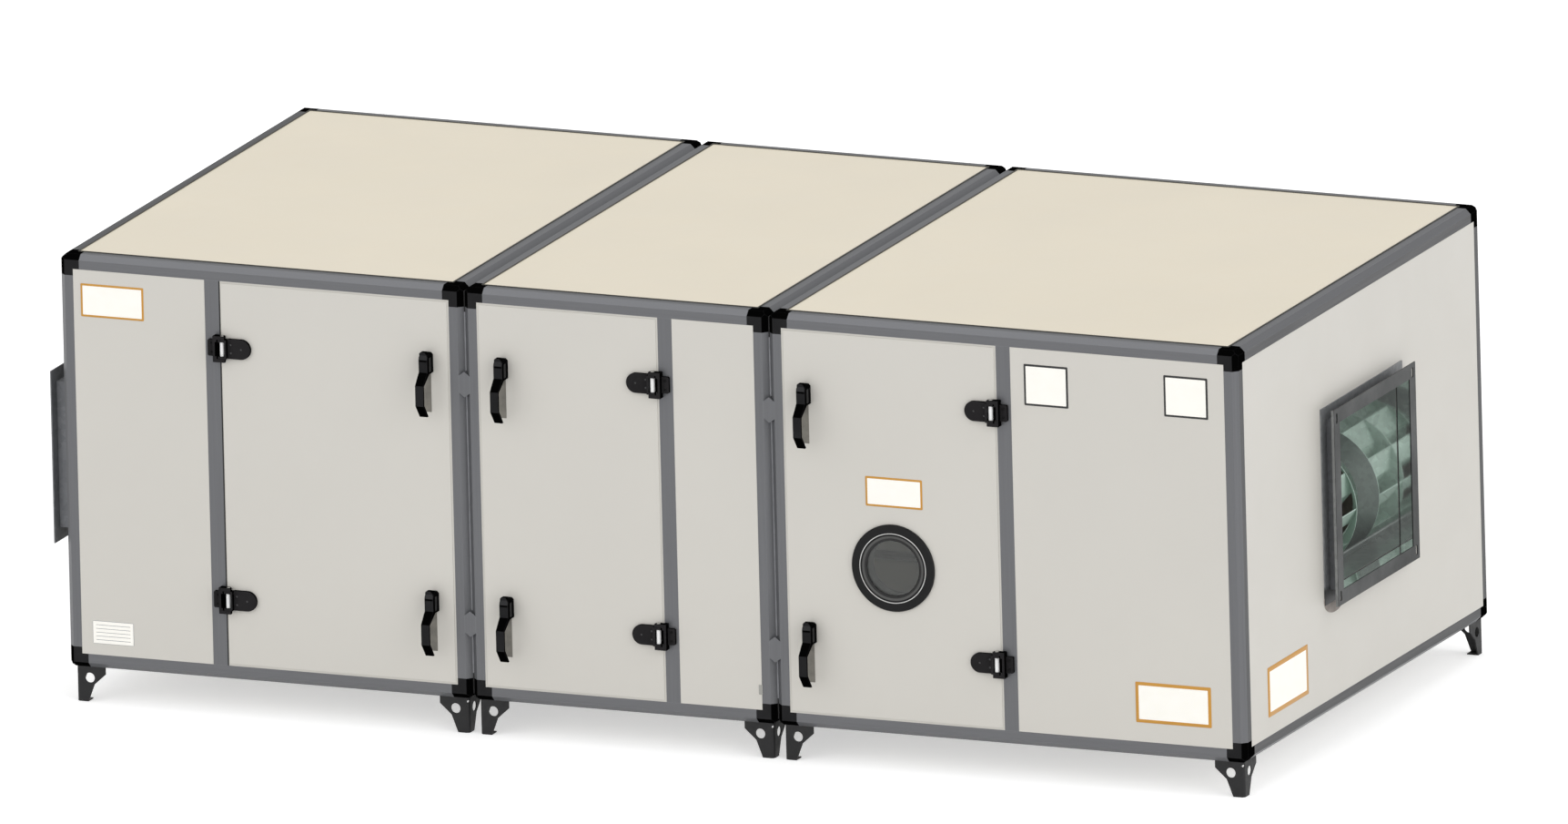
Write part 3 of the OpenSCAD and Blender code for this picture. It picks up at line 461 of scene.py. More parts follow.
# A light grey for the joints' rubber that paints light into their grooves, black where the corner pieces
# reach
GREY_GASKET = rubber("section_rubber", srgb(132, 133, 137), bloom=1.3, black_ends=CORNER_REACH)
ROOF_SEAL = rubber("roof_seal", srgb(70, 69, 64))
PALE_SEAL = coated_sheet("pale_seal", srgb(204, 201, 194), rough=0.6)
# The door's colour in shade: a painted shadow behind each lever
LEVER_SHADOW = rubber("lever_shadow_grey", srgb(116, 113, 106))
# The panel's colour in shade: a painted shadow under the outlet's back flange
TAB_SHADOW = rubber("tab_shadow_grey", srgb(140, 133, 128))
PLATE_WHITE = printed_plate("plate_white", srgb(252, 250, 243), glow=0.1)
PLATE_ORANGE = printed_plate("plate_orange", srgb(203, 146, 52))
PLATE_BLACK = printed_plate("plate_black", srgb(25, 25, 25))
PLATE_GREY = printed_plate("plate_grey", srgb(150, 155, 160))


# Finishes of the CAD nodes

NODE_FINISH = {
    "frame_corners": CORNER, "feet": FOOT, "roof_panels": ROOF,
    "fixed_panels": PANEL, "floor_panels": PANEL, "back_panels": PANEL,
    "left_end_panel": PANEL, "right_end_panel": PANEL,
    "left_door": PANEL, "middle_door": PANEL, "right_door": PANEL,
    "door_posts": PROFILE_Z, "section_clamps": PROFILE_Z, "section_gaskets": GREY_GASKET,
    "inlet_inner_flange": INLET_FLANGE, "inlet_outer_flange": INLET_FLANGE, "inlet_sleeve": INLET_SLEEVE,
    "outlet_inner_flange": BACK_FLANGE, "outlet_outer_flange": FLANGE, "outlet_sleeve": SLEEVE,
    "hinge_brackets": HINGE, "hinge_pins": PIN,
    "porthole_rings": RING, "porthole_glass": GLASS,
    "fan_scroll": SCROLL_SHEET, "fan_side_plates": DUCT_MIRROR, "fan_wheel": WHEEL, "fan_shaft": SHAFT,
    "bearing_bars": BEARING, "fan_base": BEARING, "fan_pads": GASKET,
}

# Rounding of the CAD nodes' sharp edges, in millimetres
NODE_ROUNDING = {
    "frame_corners": 2.0, "feet": 0.5, "roof_panels": 0.8, "fixed_panels": 0.8, "back_panels": 0.8,
    "left_end_panel": 0.6, "right_end_panel": 0.6, "left_door": 1.2, "middle_door": 1.2, "right_door": 1.2,
    "section_clamps": 0.6, "hinge_brackets": 0.8, "porthole_rings": 0.8,
    "inlet_outer_flange": 0.4, "outlet_outer_flange": 0.4, "bearing_bars": 0.8,
}
for side in SIDES:
    NODE_FINISH[f"{side}_door_leaves"] = HINGE
    NODE_FINISH[f"{side}_handle_seats"] = HANDLE
    NODE_ROUNDING[f"{side}_door_leaves"] = 1.2
    NODE_ROUNDING[f"{side}_handle_seats"] = 0.8
    for level in LEVELS:
        NODE_FINISH[f"{side}_{level}_lever"] = HANDLE
        NODE_ROUNDING[f"{side}_{level}_lever"] = 1.6

# Edges that are merged as flat, and edges that are sharp enough to be rounded
FLAT_ANGLE = math.radians(1.0)
ROUND_ANGLE = math.radians(32)
ROUND_SEGMENTS = 2

# Vertices that are the same to this many digits of a metre belong to one solid
SAME_DIGITS = 5

# The radius where the porthole's ring goes from its sloping inside to its flat band
RING_SPLIT = 80.5 * MM

# Where the wheel's shrouds start, as shares of its half width and radius, and how square a flat end face is
SHROUD_ALONG = 0.7
SHROUD_ROUND = 0.78
FLAT_END = 0.95

# The finishes of the rails, in the order of the axes they run along, and that of a shaded rail
RAIL_COATS = (PROFILE_X, PROFILE_Y, PROFILE_Z, PROFILE_SHADED)
ACROSS = 1
SHADED = 3


def round_edges(obj, radius):
    """Merges a CAD mesh's flat facets and rounds its sharp edges."""
    flat = obj.modifiers.new("flat", "DECIMATE")
    flat.decimate_type = "DISSOLVE"
    flat.angle_limit = FLAT_ANGLE
    bevel = obj.modifiers.new("rounding", "BEVEL")
    bevel.width = radius
    bevel.segments = ROUND_SEGMENTS
    bevel.limit_method = "ANGLE"
    bevel.angle_limit = ROUND_ANGLE
    bevel.harden_normals = True


def finish_node(name, material):
    obj = NODES[name]
    obj.data.materials.clear()
    obj.data.materials.append(material)
    for polygon in obj.data.polygons:
        polygon.material_index = 0


def islands(mesh):
    """The mesh's separate solids, as lists of polygon indices."""
    owner = list(range(len(mesh.vertices)))

    def root(i):
        while owner[i] != i:
            owner[i] = owner[owner[i]]
            i = owner[i]
        return i

    same = {}
    for v in mesh.vertices:
        key = tuple(round(c, SAME_DIGITS) for c in v.co)
        owner[v.index] = root(same.setdefault(key, v.index))
    for polygon in mesh.polygons:
        first = root(polygon.vertices[0])
        for v in polygon.vertices[1:]:
            owner[root(v)] = first
    groups = {}
    for polygon in mesh.polygons:
        groups.setdefault(root(polygon.vertices[0]), []).append(polygon.index)
    return list(groups.values())


def group_box(mesh, group):
    """The low and high corners of the box round a group of a mesh's polygons."""
    points = [mesh.vertices[v].co for p in group for v in mesh.polygons[p].vertices]
    low = Vector([min(c[k] for c in points) for k in range(3)])
    high = Vector([max(c[k] for c in points) for k in range(3)])
    return low, high


def finish_rails(name):
    """Gives each rail of a section the drawing lines that run along it."""
    mesh = NODES[name].data
    mesh.materials.clear()
    for material in RAIL_COATS:
        mesh.materials.append(material)
    for group in islands(mesh):
        low, high = group_box(mesh, group)
        spans = list(high - low)
        axis = spans.index(max(spans))
        left_end = low.x < CASING_LOW.x + MM
        top = high.z > CASING_HIGH.z - MM
        index = SHADED if axis == ACROSS and left_end and top else axis
        for p in group:
            mesh.polygons[p].material_index = index


def finish_porthole():
    """The sloping inside of the ring is grey and its flat band black."""
    mesh = NODES["porthole_rings"].data
    mesh.materials.append(INNER_RING)
    low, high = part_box("porthole_rings")
    middle = (low + high) / 2
    for polygon in mesh.polygons:
        c = polygon.center
        if math.hypot(c.x - middle.x, c.z - middle.z) < RING_SPLIT:
            polygon.material_index = 1


def finish_inside(name, material):
    """The faces that look into a duct have a finish of their own."""
    mesh = NODES[name].data
    mesh.materials.append(material)
    low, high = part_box(name)
    middle = (low + high) / 2
    for polygon in mesh.polygons:
        away = polygon.center - middle
        away.x = 0
        if polygon.normal.dot(away) < -MM:
            polygon.material_index = 1


def finish_wheel():
    """The two conical shrouds of the wheel are darker than its blades."""
    mesh = NODES["fan_wheel"].data
    mesh.materials.append(SHROUD)
    low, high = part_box("fan_wheel")
    middle = (low + high) / 2
    half = (high.y - low.y) / 2
    reach = (high.z - low.z) / 2
    for polygon in mesh.polygons:
        away = polygon.center - middle
        radius = math.hypot(away.x, away.z)
        outward = away.y * polygon.normal.y > 0 and abs(polygon.normal.y) < FLAT_END
        if outward and abs(away.y) > SHROUD_ALONG * half and radius > SHROUD_ROUND * reach:
            polygon.material_index = 1


for node_name, finish in NODE_FINISH.items():
    finish_node(node_name, finish)
finish_porthole()
finish_inside("outlet_sleeve", DUCT_MIRROR)
finish_inside("outlet_inner_flange", FLANGE)
finish_inside("inlet_sleeve", DUCT_MIRROR)
finish_wheel()
for node_name in ("left_frame", "middle_frame", "right_frame"):
    finish_rails(node_name)
for node_name, radius in NODE_ROUNDING.items():
    round_edges(NODES[node_name], radius * MM)


# Building pieces

SMOOTH_ANGLE = math.radians(35)


class Shape:
    """Vertices, faces and the faces' material indices, gathered for one piece."""

    def __init__(self):
        self.verts = []
        self.faces = []
        self.marks = []

    def add_loops(self, loops):
        """Adds the loops' points and gives the index that each loop starts at."""
        count = len(loops[0])
        starts = [len(self.verts) + k * count for k in range(len(loops))]
        for loop in loops:
            self.verts.extend(loop)
        return starts

    def band(self, first, second, count, mark=0):
        """Faces between two loops of as many points."""
        for i in range(count):
            j = (i + 1) % count
            self.faces.append((first + i, first + j, second + j, second + i))
            self.marks.append(mark)

    def loops(self, loops, mark=0):
        """Skins a row of loops that all have the same number of points, and closes its ends."""
        count = len(loops[0])
        starts = self.add_loops(loops)
        for first, second in zip(starts, starts[1:]):
            self.band(first, second, count, mark)
        for end in (starts[0], starts[-1]):
            self.faces.append(tuple(range(end, end + count)))
            self.marks.append(mark)

    def ring(self, loops):
        """Skins a closed row of loops, the last one joined to the first."""
        starts = self.add_loops(loops)
        for first, second in zip(starts, starts[1:] + starts[:1]):
            self.band(first, second, len(loops[0]))


def add_piece(name, shape, body, materials, smooth=True):
    """A new mesh piece in the row frame that rides on a CAD body."""
    mesh = bpy.data.meshes.new(name)
    mesh.from_pydata(shape.verts, [], shape.faces)
    for material in materials:
        mesh.materials.append(material)
    for polygon, index in zip(mesh.polygons, shape.marks):
        polygon.material_index = index
    work = bmesh.new()
    work.from_mesh(mesh)
    bmesh.ops.recalc_face_normals(work, faces=work.faces)
    work.to_mesh(mesh)
    work.free()
    if smooth:
        mesh.shade_smooth()
        mesh.set_sharp_from_angle(angle=SMOOTH_ANGLE)
    obj = bpy.data.objects.new(name, mesh)
    bpy.context.scene.collection.objects.link(obj)
    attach(obj, body)
    return obj


def on_plane(origin, axes, along, up, out):
    return origin + axes[0] * along + axes[1] * up + axes[2] * out


def rounded_outline(width, height, radius, steps=5):
    """Points round a rectangle with round corners, centred on 0."""
    points = []
    for k, (sx, sy) in enumerate(((1, 1), (-1, 1), (-1, -1), (1, -1))):
        cx = sx * (width / 2 - radius)
        cy = sy * (height / 2 - radius)
        for i in range(steps + 1):
            angle = math.radians(90 * k + 90 * i / steps)
            points.append((cx + radius * math.cos(angle), cy + radius * math.sin(angle)))
    return points


def circle_outline(radius, count, sides=0):
    """Points on a circle, or on a polygon of that many sides inside it."""
    points = []
    for i in range(count):
        angle = 2 * math.pi * i / count
        r = radius
        if sides:
            half = math.pi / sides
            r = radius * math.cos(half) / math.cos(angle % (2 * half) - half)
        points.append((r * math.cos(angle), r * math.sin(angle)))
    return points


def lifted(outline, origin, axes, out):
    return [on_plane(origin, axes, a, b, out) for a, b in outline]


def block(shape, origin, axes, along, up, out, mark=0):
    """A box from its two ends along, up and out, in millimetres."""
    corners = ((along[0], up[0]), (along[1], up[0]), (along[1], up[1]), (along[0], up[1]))
    outline = [(a * MM, b * MM) for a, b in corners]
    shape.loops([lifted(outline, origin, axes, o * MM) for o in out], mark=mark)


def flat_piece(name, outline, middle, axes, thickness, body, material):
    """A piece of even thickness that lies on a plane."""
    shape = Shape()
    shape.loops([lifted(outline, middle, axes, out) for out in (0.0, thickness)])
    return add_piece(name, shape, body, [material])


def front_point(x, z, out=0.0):
    """A point on the casing's front, in millimetres from its lower left corner."""
    return Vector((CASING_LOW.x + x * MM, CASING_LOW.y - out * MM, CASING_LOW.z + z * MM))


def end_point(y, z):
    """A point on the casing's right end, in millimetres from its lower front corner."""
    return Vector((CASING_HIGH.x, CASING_LOW.y + y * MM, CASING_LOW.z + z * MM))


# Blank plates where the casing carries its labels

PLATE_T = 0.8 * MM
PLATE_RADIUS = 2.5 * MM
PLATE_CHAMFER = 0.3 * MM
PLATE_EDGE = 0.56 * MM
DATA_X = 115
DATA_Z = 89

# The width of the plates' borders, in millimetres
BORDER = 5
WIDE_BORDER = 8
END_BORDER = 11
DATA_BORDER = 0.8

# Each plate's middle, axes, width, height and border in millimetres, body and border's material
PLATES = {
    "plate_left_top": (front_point(133, 893), FRONT_AXES, 160, 80, BORDER, "casing", PLATE_ORANGE),
    "plate_right_door": (front_point(2121, 588), FRONT_AXES, 145, 72, BORDER, "right_door", PLATE_ORANGE),
    "plate_right_low": (front_point(2823, 130), FRONT_AXES, 193, 98, WIDE_BORDER, "casing", PLATE_ORANGE),
    "plate_end_low": (end_point(256, 139), END_AXES, 239, 120, END_BORDER, "casing", PLATE_ORANGE),
    "plate_square_a": (front_point(2517, 878), FRONT_AXES, 112, 100, BORDER, "casing", PLATE_BLACK),
    "plate_square_b": (front_point(2874, 879), FRONT_AXES, 112, 100, BORDER, "casing", PLATE_BLACK),
    "plate_data": (front_point(DATA_X, DATA_Z), FRONT_AXES, 104, 55, DATA_BORDER, "casing", PLATE_GREY),
}


def blank_plate(name, middle, axes, width, height, border, body, border_material):
    """A thin plate with a coloured border round an empty white field."""
    outer = rounded_outline(width, height, PLATE_RADIUS)
    top = rounded_outline(width - 2 * PLATE_CHAMFER, height - 2 * PLATE_CHAMFER, PLATE_RADIUS)
    inner = rounded_outline(width - 2 * border, height - 2 * border, PLATE_RADIUS / 2)
    steps = ((outer, 0.0), (outer, PLATE_EDGE), (top, PLATE_T), (inner, PLATE_T))
    shape = Shape()
    shape.loops([lifted(outline, middle, axes, out) for outline, out in steps])
    shape.marks[-1] = 1
    return add_piece(name, shape, body, [border_material, PLATE_WHITE])


for name, (middle, axes, width, height, border, body, border_material) in PLATES.items():
    blank_plate(name, middle, axes, width * MM, height * MM, border * MM, body, border_material)


# A small clip at the edge of the middle section's fixed panel

CLIP_W = 9.3 * MM
CLIP_H = 24 * MM
CLIP_T = 1.2 * MM
CLIP_RADIUS = 1.5 * MM
CLIP_MIDDLE = front_point(1767.7, 83.2)
flat_piece("panel_clip", rounded_outline(CLIP_W, CLIP_H, CLIP_RADIUS), CLIP_MIDDLE, FRONT_AXES, CLIP_T,
           "casing", CLIP)


# Door seals

DOOR_GAP = 5 * MM
SEAL_FACE = 0.3 * MM
SEAL_DEPTH = 12 * MM
SEAL_INNER = 0.2 * MM
SEAL_OUTER = DOOR_GAP - 0.1 * MM
SEAL_CHAMFER = 0.4 * MM
LIP_FACE = 30 * MM
BULB_GROW = -4 * MM
BULB_DEPTH = LIP_FACE - 2.3 * MM
BULB_WIDE = 4 * MM
BULB_DEEP = 2.2 * MM
BULB_STEPS = 12

# Sections of the seals, as how far they grow past the door and how deep they lie behind the front
SEAL_SECTION = ((SEAL_INNER, SEAL_FACE + SEAL_CHAMFER), (SEAL_INNER + SEAL_CHAMFER, SEAL_FACE),
                (SEAL_OUTER, SEAL_FACE), (SEAL_OUTER, SEAL_DEPTH), (SEAL_INNER, SEAL_DEPTH))
BULB_SECTION = [(BULB_GROW + BULB_WIDE * a, BULB_DEPTH + BULB_DEEP * b)
                for a, b in circle_outline(1.0, BULB_STEPS)]


def door_loop(side, grow):
    """The corners of a door's outline, grown on every side, as x and z."""
    low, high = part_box(f"{side}_door")
    return ((low.x - grow, low.z - grow), (high.x + grow, low.z - grow),
            (high.x + grow, high.z + grow), (low.x - grow, high.z + grow))


def door_strip(name, side, section, material):
    """Sweeps a section of grow and depth pairs round a door."""
    face = CASING_LOW.y
    shape = Shape()
    shape.ring([[Vector((x, face + depth, z)) for x, z in door_loop(side, grow)] for grow, depth in section])
    return add_piece(name, shape, "casing", [material], smooth=False)


for side in SIDES:
    door_strip(f"{side}_door_seal", side, SEAL_SECTION, PALE_SEAL)
    door_strip(f"{side}_door_bulb", side, BULB_SECTION, GASKET)


# Raised seals round the roof panels

ROOF_SEAL_W = 3 * MM
ROOF_SEAL_H = 1.8 * MM
ROOF_SEAL_FOOT = -1 * MM
ROOF_SECTION = ((0.0, ROOF_SEAL_FOOT), (0.0, ROOF_SEAL_H),
                (ROOF_SEAL_W, ROOF_SEAL_H), (ROOF_SEAL_W, ROOF_SEAL_FOOT))


def roof_seals():
    mesh = NODES["roof_panels"].data
    shape = Shape()
    for group in islands(mesh):
        low, high = group_box(mesh, group)
        loops = []
        for inset, lift in ROOF_SECTION:
            left, right = low.x + inset, high.x - inset
            front, back = low.y + inset, high.y - inset
            corners = ((left, front), (right, front), (right, back), (left, back))
            loops.append([Vector((x, y, high.z + lift)) for x, y in corners])
        shape.ring(loops)
    add_piece("roof_seals", shape, "casing", [ROOF_SEAL], smooth=False)


roof_seals()


# The dark line between the left door's seal and its post

LINE_W = 3.6 * MM
LINE_LIFT = 0.2 * MM
THIN_RADIUS = 0.5 * MM
THIN_STEPS = 2


def door_line():
    low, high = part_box("left_door")
    left = low.x - DOOR_GAP
    middle = Vector((left + LINE_W / 2, CASING_LOW.y + SEAL_FACE, (low.z + high.z) / 2))
    outline = rounded_outline(LINE_W, high.z - low.z + 2 * DOOR_GAP, THIN_RADIUS, THIN_STEPS)
    flat_piece("left_door_line", outline, middle, FRONT_AXES, LINE_LIFT, "casing", GASKET)


door_line()


# Screws in the hinges, with their places across and up from the pin

LEAF_H = 48 * MM
LEAF_FACE = 8 * MM
LEAF_RECESS = 1.5 * MM
BRACKET_FACE = 7 * MM
LEAF_SCREWS = ((20 * MM, -10 * MM), (20 * MM, 10 * MM), (46 * MM, 0.0))
LEAF_SCREW_R = 2.4 * MM
LEAF_SCREW_H = 1.6 * MM
BRACKET_SCREWS = ((-30.5 * MM, -11 * MM), (-30.5 * MM, 11 * MM))
BRACKET_SCREW_R = 3.0 * MM
BRACKET_SCREW_H = 1.8 * MM

# A screw head's rings, as shares of its radius and height, and the sides of its socket
SCREW_RINGS = ((1.0, 0.0, 0), (1.0, 0.55, 0), (0.86, 0.9, 0), (0.62, 1.0, 0), (0.52, 1.0, 6), (0.5, 0.35, 6))
SCREW_STEPS = 24


def screw_piece(name, places, radius, height, body, material):
    """Low round heads with hexagon sockets."""
    shape = Shape()
    for place in places:
        loops = []
        for wide, high, sides in SCREW_RINGS:
            outline = circle_outline(radius * wide, SCREW_STEPS, sides)
            loops.append(lifted(outline, place, FRONT_AXES, height * high))
        shape.loops(loops)
    return add_piece(name, shape, body, [material])


def hinge_places(side):
    """The pin's place and the height of each hinge of a door, with the way from the pin to the door."""
    pin = Vector(JOINTS[f"{side}_door_hinge"]["pos_m"])
    low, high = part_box(f"{side}_door_leaves")
    half = LEAF_H / 2
    way = 1 if side == "left" else -1
    return pin, (low.z + half, high.z - half), way


for side in SIDES:
    pin, levels, way = hinge_places(side)
    leaf_y = CASING_LOW.y - LEAF_FACE + LEAF_RECESS
    leaf = [Vector((pin.x + way * a, leaf_y, z + b)) for z in levels for a, b in LEAF_SCREWS]
    screw_piece(f"{side}_leaf_screws", leaf, LEAF_SCREW_R, LEAF_SCREW_H, f"{side}_door", SCREW_BLACK)
    bracket_y = CASING_LOW.y - BRACKET_FACE
    bracket = [Vector((pin.x + way * a, bracket_y, z + b)) for z in levels for a, b in BRACKET_SCREWS]
    screw_piece(f"{side}_bracket_screws", bracket, BRACKET_SCREW_R, BRACKET_SCREW_H, "casing", SCREW_DARK)


# The white barrel on each hinge's pin, the black liner beside it as painted shade in the recess, and the
# jamb between the leaf's lugs with a face of painted light

# Millimetres from the pin, across and up, and out from the casing
BARREL_R = 5.4
BARREL_SPAN = (-17.3, 17.3)
BARREL_STEPS = 32
LINER_ACROSS = (-15.9, -6.2)
LINER_OUT = (0.0, 10.0)
JAMB_ACROSS = (8.3, 12.5)
JAMB_SPAN = (-17.5, 17.5)
JAMB_OUT = (8.0, 19.0)
# The jamb's face that looks at the barrel, which takes the lighter grey of painted light, by the way from
# the pin to the door
INNER_FACE = {1: 3, -1: 1}


def hinge_fill(side):
    pin, levels, way = hinge_places(side)
    circle = circle_outline(BARREL_R * MM, BARREL_STEPS)
    barrel, liner, jamb = Shape(), Shape(), Shape()
    for z in levels:
        ends = [z + end * MM for end in BARREL_SPAN]
        barrel.loops([[Vector((pin.x + a, pin.y + b, end)) for a, b in circle] for end in ends])
        place = Vector((pin.x, CASING_LOW.y, z))
        block(liner, place, FRONT_AXES, sorted(way * a for a in LINER_ACROSS), BARREL_SPAN, LINER_OUT)
        first = len(jamb.marks)
        block(jamb, place, FRONT_AXES, sorted(way * a for a in JAMB_ACROSS), JAMB_SPAN, JAMB_OUT)
        jamb.marks[first + INNER_FACE[way]] = 1
    add_piece(f"{side}_hinge_barrels", barrel, "casing", [BARREL])
    add_piece(f"{side}_hinge_liners", liner, "casing", [MATT_BLACK])
    add_piece(f"{side}_hinge_jambs", jamb, f"{side}_door", [HINGE, JAMB_LIT])


for side in SIDES:
    hinge_fill(side)


# The cap of each lever's head, the dark line and the lighter top of its front as painted light, and the
# lighter band on its side as a painted highlight

# Millimetres from the lever's pivot, across and up, and out from the door
HEAD_OUT = 36.0
CAP_OUTLINE = ((-10.5, 17.0), (9.0, 17.0), (9.0, 21.5), (2.5, 28.3), (-8.0, 28.3), (-10.5, 25.5))
CAP_OUT = (18.0, 32.3)
DARK_ACROSS = (-10.0, 10.0)
DARK_UP = (6.4, 10.4)
DARK_OUT = (HEAD_OUT - 0.1, HEAD_OUT + 0.2)
TOP_OUTLINE = ((-9.6, 11.4), (9.6, 11.4), (9.6, 17.5), (6.2, 21.5), (-6.2, 21.5), (-9.6, 17.5))
TOP_LIFTS = (-0.1, 0.25)
BAND_DEPTH = (-25.0, -14.0)
BAND_UP = (-20.0, 14.0)
BAND_SIDE = (10.9, 11.25)
# The front of the head slopes back above the foot, and goes up by this much for each millimetre back
SLOPE_FOOT = 11.0
SLOPE_FALL = 3.0


def lever_place(side, level):
    """The point of the door's front behind a lever's pivot."""
    pivot = Vector(JOINTS[f"{side}_{level}_lever_turn"]["pos_m"])
    return Vector((pivot.x, CASING_LOW.y, pivot.z))


def sloped_loop(place, lift):
    """The outline of the head's top, laid on its slope."""
    loop = []
    for a, b in TOP_OUTLINE:
        out = HEAD_OUT - (b - SLOPE_FOOT) / SLOPE_FALL + lift
        loop.append(on_plane(place, FRONT_AXES, a * MM, b * MM, out * MM))
    return loop


def lever_trim(side, level):
    place = lever_place(side, level)
    cap = [(a * MM, b * MM) for a, b in CAP_OUTLINE]
    shape = Shape()
    shape.loops([lifted(cap, place, FRONT_AXES, out * MM) for out in CAP_OUT])
    block(shape, place, FRONT_AXES, DARK_ACROSS, DARK_UP, DARK_OUT, mark=1)
    shape.loops([sloped_loop(place, lift) for lift in TOP_LIFTS], mark=2)
    block(shape, place, END_AXES, BAND_DEPTH, BAND_UP, BAND_SIDE, mark=3)
    add_piece(f"{side}_{level}_lever_trim", shape, f"{side}_{level}_lever",
              [HANDLE, MATT_BLACK, LEVER_TOP, LEVER_BAND])


for side in SIDES:
    for level in LEVELS:
        lever_trim(side, level)


# A thin plate on the door behind each lever, in the door's colour in shade: a painted shadow of the lever

BACKING_LEFT = -16 * MM
BACKING_RIGHT = 4.4 * MM
BACKING_TOP = -25.3 * MM
BACKING_FOOT = -123 * MM
BACKING_RADIUS = 1.0 * MM
BACKING_T = 0.6 * MM


def lever_backing(side, level):
    across = (BACKING_LEFT + BACKING_RIGHT) / 2
    up = (BACKING_TOP + BACKING_FOOT) / 2
    middle = on_plane(lever_place(side, level), FRONT_AXES, across, up, 0.0)
    outline = rounded_outline(BACKING_RIGHT - BACKING_LEFT, BACKING_TOP - BACKING_FOOT, BACKING_RADIUS)
    flat_piece(f"{side}_{level}_backing", outline, middle, FRONT_AXES, BACKING_T,
               f"{side}_door", LEVER_SHADOW)


for side in SIDES:
    for level in LEVELS:
        lever_backing(side, level)


# The light line in the porthole's groove, the rim inside it and the rubber lip round its glass

# Each section as radius and height over the ring's front, in millimetres
LINE_SECTION = ((83.0, -1.5), (83.0, 0.1), (83.3, 0.3), (84.4, 0.3), (84.7, 0.1), (84.7, -1.5))
RIM_SECTION = ((78.4, -1.0), (78.4, -0.2), (78.8, 0.15), (82.0, 0.25), (82.3, 0.1), (82.3, -1.0))
LIP_SECTION = ((66.6, -2.6), (66.6, -1.5), (67.6, -0.9), (71.6, -0.5),
               (72.6, -0.9), (72.6, -1.6), (67.4, -2.6))
HOOP_STEPS = 96


def porthole_hoop(name, section, material):
    """A hoop of a given section round the porthole."""
    low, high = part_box("porthole_rings")
    centre = Vector(((low.x + high.x) / 2, low.y, (low.z + high.z) / 2))
    loops = []
    for r, out in section:
        outline = circle_outline(r * MM, HOOP_STEPS)
        loops.append(lifted(outline, centre, FRONT_AXES, out * MM))
    shape = Shape()
    shape.ring(loops)
    add_piece(name, shape, "right_door", [material])


porthole_hoop("porthole_line", LINE_SECTION, LIGHT_RING)
porthole_hoop("porthole_rim", RIM_SECTION, RING)
porthole_hoop("porthole_lip", LIP_SECTION, GASKET)


# A rounded tab on the end panel, under the front corner of the outlet's back flange, in the panel's colour
# in shade: a painted shadow of the flange

TAB_MIDDLE = (62 * MM, 8 * MM)
TAB_REACH = (64 * MM, 36 * MM)
TAB_T = 1.5 * MM
TAB_STEPS = 64


def outlet_tab():
    corner = Vector((CASING_HIGH.x, OUTLET_LOW.y, OUTLET_LOW.z))
    middle = on_plane(corner, END_AXES, *TAB_MIDDLE, 0.0)
    outline = [(a * TAB_REACH[0], b * TAB_REACH[1]) for a, b in circle_outline(1.0, TAB_STEPS)]
    flat_piece("outlet_tab", outline, middle, END_AXES, TAB_T, "casing", TAB_SHADOW)


outlet_tab()


# The folded edge along the front of the outlet's outer flange, in a lighter zinc as a painted highlight, in
# millimetres

EDGE_FOLD = (-6.5, 0.0)
EDGE_OUT = (-2.0, 0.3)


def outlet_edge():
    corner = Vector((OUTLET_HIGH.x, OUTLET_LOW.y, OUTLET_LOW.z))
    height = (OUTLET_HIGH.z - OUTLET_LOW.z) / MM
    shape = Shape()
    block(shape, corner, FRONT_AXES, EDGE_FOLD, (0.0, height), EDGE_OUT)
    add_piece("outlet_edge", shape, "casing", [FLANGE_EDGE])


outlet_edge()


# Ruled lines on the data plate

RULE_COUNT = 5
RULE_PITCH = 9
RULE_W = 88 * MM
RULE_H = 1.2 * MM
RULE_LIFT = 0.15 * MM


def ruled_lines():
    outline = rounded_outline(RULE_W, RULE_H, THIN_RADIUS, THIN_STEPS)
    shape = Shape()
    for k in range(RULE_COUNT):
        middle = front_point(DATA_X, DATA_Z + (k - RULE_COUNT // 2) * RULE_PITCH, PLATE_T / MM)
        shape.loops([lifted(outline, middle, FRONT_AXES, out) for out in (0.0, RULE_LIFT)])
    add_piece("plate_data_lines", shape, "casing", [PLATE_GREY])


ruled_lines()


# Light

WHITE = (1, 1, 1, 1)
WORLD_LEVEL = 0.6
WORLD_SEEN = 1.0
FLOOR_HALF = 40.0
FLOOR_COLOUR = (0.8, 0.8, 0.8, 1)
FLOOR_ROUGHNESS = 0.9
FLOOR_LIFT = 0.5

# Each light's name, the direction it comes from, its strength and its spread in degrees
SUNS = (
    ("front_sun", (-0.3, -0.87, 0.32), 0.765, 80),
    ("end_sun", (0.87, -0.3, 0.39), 1.03, 60),
    ("top_sun", (0.0, 0.1, 1.0), 0.42, 30),
)


def either_ray(tree, first, second):
    """1 for rays of two kinds and 0 for all others."""
    paths = tree.nodes.new("ShaderNodeLightPath")
    seen = tree.nodes.new("ShaderNodeMath")
    seen.operation = "MAXIMUM"
    tree.links.new(paths.outputs[first], seen.inputs[0])
    tree.links.new(paths.outputs[second], seen.inputs[1])
    return seen.outputs["Value"]


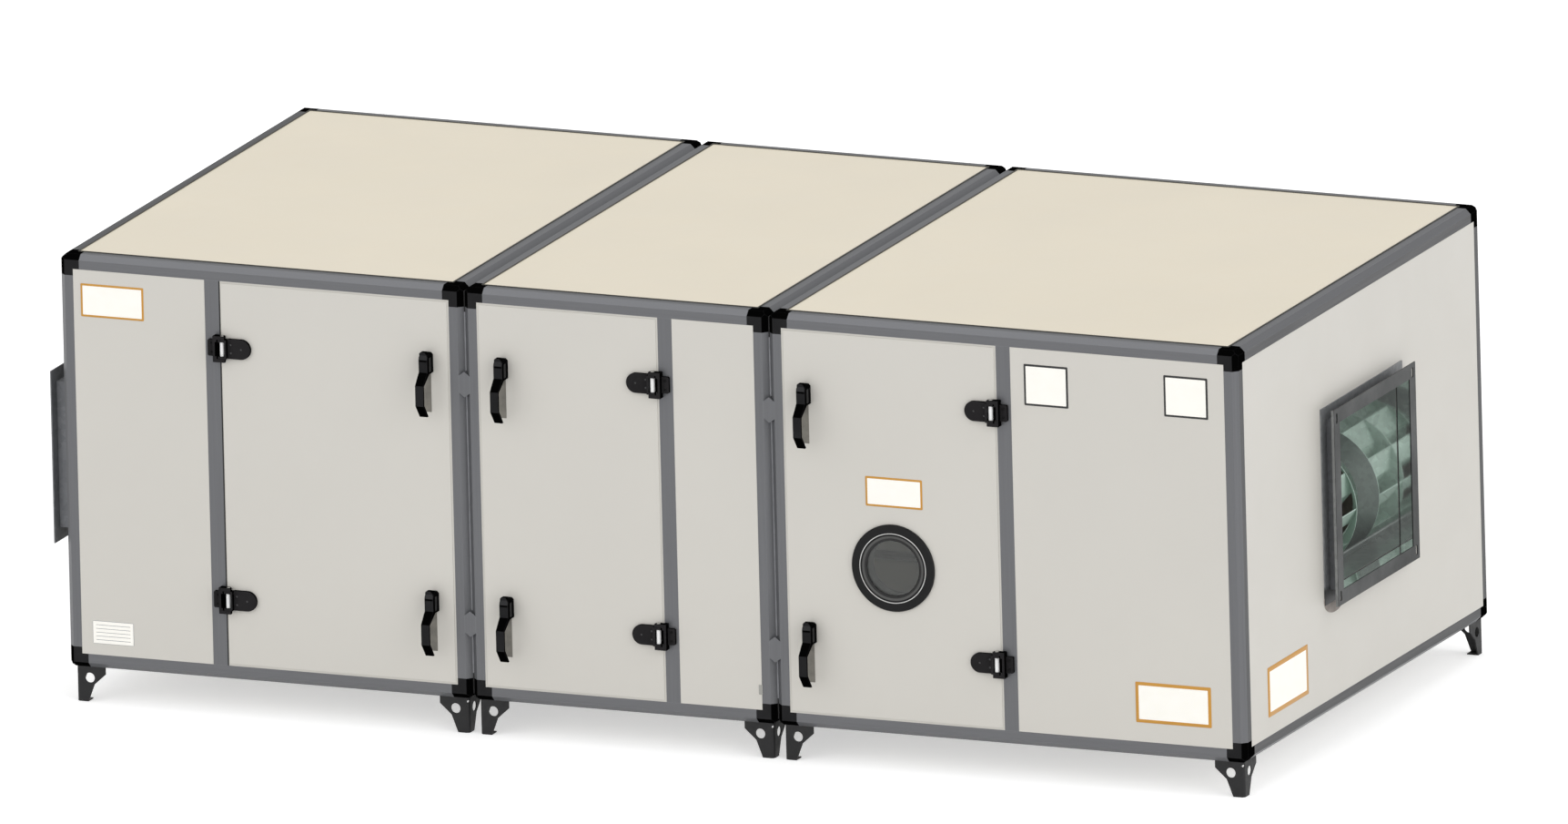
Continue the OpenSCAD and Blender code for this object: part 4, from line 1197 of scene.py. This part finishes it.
def make_world():
    """An even white sky that is brighter to the eye than as a light."""
    world = bpy.data.worlds.new("studio")
    bpy.context.scene.world = world
    world.use_nodes = True
    tree = world.node_tree
    background = tree.nodes["Background"]
    level = tree.nodes.new("ShaderNodeMapRange")
    level.inputs["To Min"].default_value = WORLD_LEVEL
    level.inputs["To Max"].default_value = WORLD_SEEN
    tree.links.new(either_ray(tree, "Is Camera Ray", "Is Transmission Ray"), level.inputs["Value"])
    tree.links.new(level.outputs["Result"], background.inputs["Strength"])
    background.inputs["Color"].default_value = WHITE


def make_floor():
    """A pale floor that is lifted to white for the eye and in reflections."""
    corners = [(a * FLOOR_HALF, b * FLOOR_HALF, 0) for a, b in ((-1, -1), (1, -1), (1, 1), (-1, 1))]
    mesh = bpy.data.meshes.new("floor")
    mesh.from_pydata(corners, [], [(0, 1, 2, 3)])
    material = bpy.data.materials.new("floor_pale")
    material.use_nodes = True
    tree = material.node_tree
    bsdf = tree.nodes["Principled BSDF"]
    bsdf.inputs["Base Color"].default_value = FLOOR_COLOUR
    bsdf.inputs["Roughness"].default_value = FLOOR_ROUGHNESS
    bsdf.inputs["Specular IOR Level"].default_value = 0.0
    bsdf.inputs["Emission Color"].default_value = WHITE
    lift = tree.nodes.new("ShaderNodeMath")
    lift.operation = "MULTIPLY"
    lift.inputs[1].default_value = FLOOR_LIFT
    tree.links.new(either_ray(tree, "Is Camera Ray", "Is Glossy Ray"), lift.inputs[0])
    tree.links.new(lift.outputs["Value"], bsdf.inputs["Emission Strength"])
    mesh.materials.append(material)
    floor = bpy.data.objects.new("floor", mesh)
    bpy.context.scene.collection.objects.link(floor)


def soft_sun(name, towards, strength, spread):
    """A distant soft light that shines from the direction given."""
    data = bpy.data.lights.new(name, "SUN")
    data.energy = strength
    data.angle = math.radians(spread)
    sun = bpy.data.objects.new(name, data)
    sun.rotation_euler = (-Vector(towards)).to_track_quat("-Z", "Y").to_euler()
    bpy.context.scene.collection.objects.link(sun)


make_world()
make_floor()
for sun_name, towards, strength, spread in SUNS:
    soft_sun(sun_name, towards, strength, spread)

bpy.context.scene.view_settings.view_transform = "Standard"
